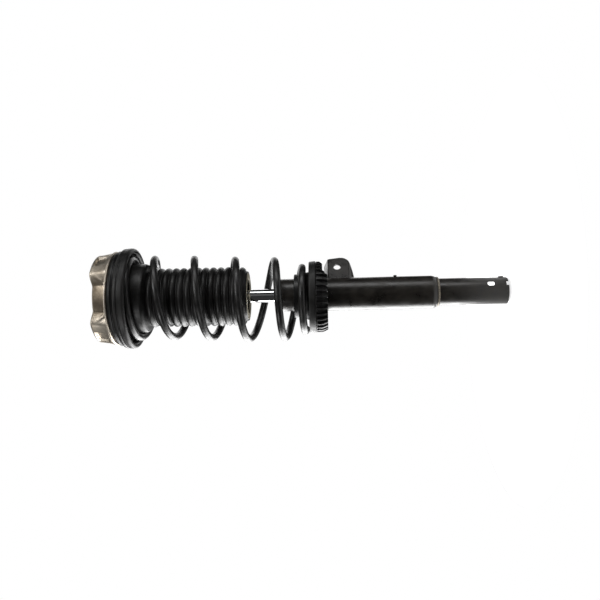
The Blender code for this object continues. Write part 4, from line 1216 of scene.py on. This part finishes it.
# %% [markdown]
# ## Floor, backdrop and light
# A plain white floor under the tube's end, and a white world behind. Reflections want more
# contrast than an all-white room gives: black parts would turn grey. So only the camera's own
# rays see the bright world and floor, and soft panels make the highlights. One stands beyond the
# bracket's side, and a wide one behind the opposite side gives the pale undersides that a
# white table would. Small ones pick out the casting, and weak ones fill the front, the back
# and the top.

# %% Stage and lights
def white_world():
    world = bpy.data.worlds.new("studio")
    bpy.context.scene.world = world
    world.use_nodes = True
    tree = world.node_tree
    tree.nodes.clear()
    seen = add(tree, "ShaderNodeLightPath").outputs["Is Camera Ray"]
    dim = add(tree, "ShaderNodeBackground", None, {"Color": linear("#ffffff"), "Strength": 0.045})
    bright = add(tree, "ShaderNodeBackground", None, {"Color": linear("#ffffff"),
                                                      "Strength": 1.0})
    both = add(tree, "ShaderNodeMixShader", None, {0: seen, 1: dim.outputs[0],
                                                   2: bright.outputs[0]})
    add(tree, "ShaderNodeOutputWorld", None, {"Surface": both.outputs[0]})


def panel(name, place, aim, size, power):
    data = bpy.data.lights.new(name, "AREA")
    data.shape = "RECTANGLE"
    data.size, data.size_y = size
    data.energy = power
    made = bpy.data.objects.new(name, data)
    bpy.context.scene.collection.objects.link(made)
    made.location = place
    made.rotation_mode = "QUATERNION"
    made.rotation_quaternion = (Vector(aim) - Vector(place)).to_track_quat("-Z", "Y")


def floor():
    bm = bmesh.new()
    bmesh.ops.create_circle(bm, cap_ends=True, radius=0.35, segments=96)
    bmesh.ops.translate(bm, verts=bm.verts, vec=(0.0, 0.0, -0.004))
    mesh = bpy.data.meshes.new("floor")
    bm.to_mesh(mesh)
    bm.free()
    made, tree, shader, place = finish("pale_floor", "#f2f2f2", 0.9, 0.0)
    shader.inputs["Emission Color"].default_value = linear("#ffffff")
    seen = add(tree, "ShaderNodeLightPath").outputs["Is Camera Ray"]
    tree.links.new(spread(tree, seen, 0.12, 0.7, 0.0, 1.0),
                   shader.inputs["Emission Strength"])
    mesh.materials.append(made)
    ground = bpy.data.objects.new("floor", mesh)
    bpy.context.scene.collection.objects.link(ground)


white_world()
floor()
MIDDLE = (0.0, 0.0, 0.35)
panel("top_softbox", (1.3, -0.55, 0.45), MIDDLE, (0.5, 1.5), 9.0)
panel("table_bounce", (-0.66, 0.5, 0.28), (0.0, 0.0, 0.28), (0.7, 1.0), 22.0)
panel("mount_light", (0.45, -0.8, 1.35), (0.0, 0.0, 0.68), (0.5, 0.5), 5.5)
panel("mount_bounce", (-0.55, -0.4, 0.78), (0.0, 0.0, 0.68), (0.3, 0.3), 1.6)
panel("front_fill", (0.4, -1.7, 0.6), MIDDLE, (0.7, 0.9), 0.25)
panel("overhead", (0.1, 0.3, 1.9), (0.0, 0.0, 0.69), (1.0, 1.0), 5.0)
panel("back_rim", (0.5, 1.3, 0.7), MIDDLE, (0.8, 1.2), 7.0)
bpy.context.scene.view_settings.view_transform = "Standard"

# %% [markdown]
# ## Finish

# %% Finish
bpy.context.view_layer.update()
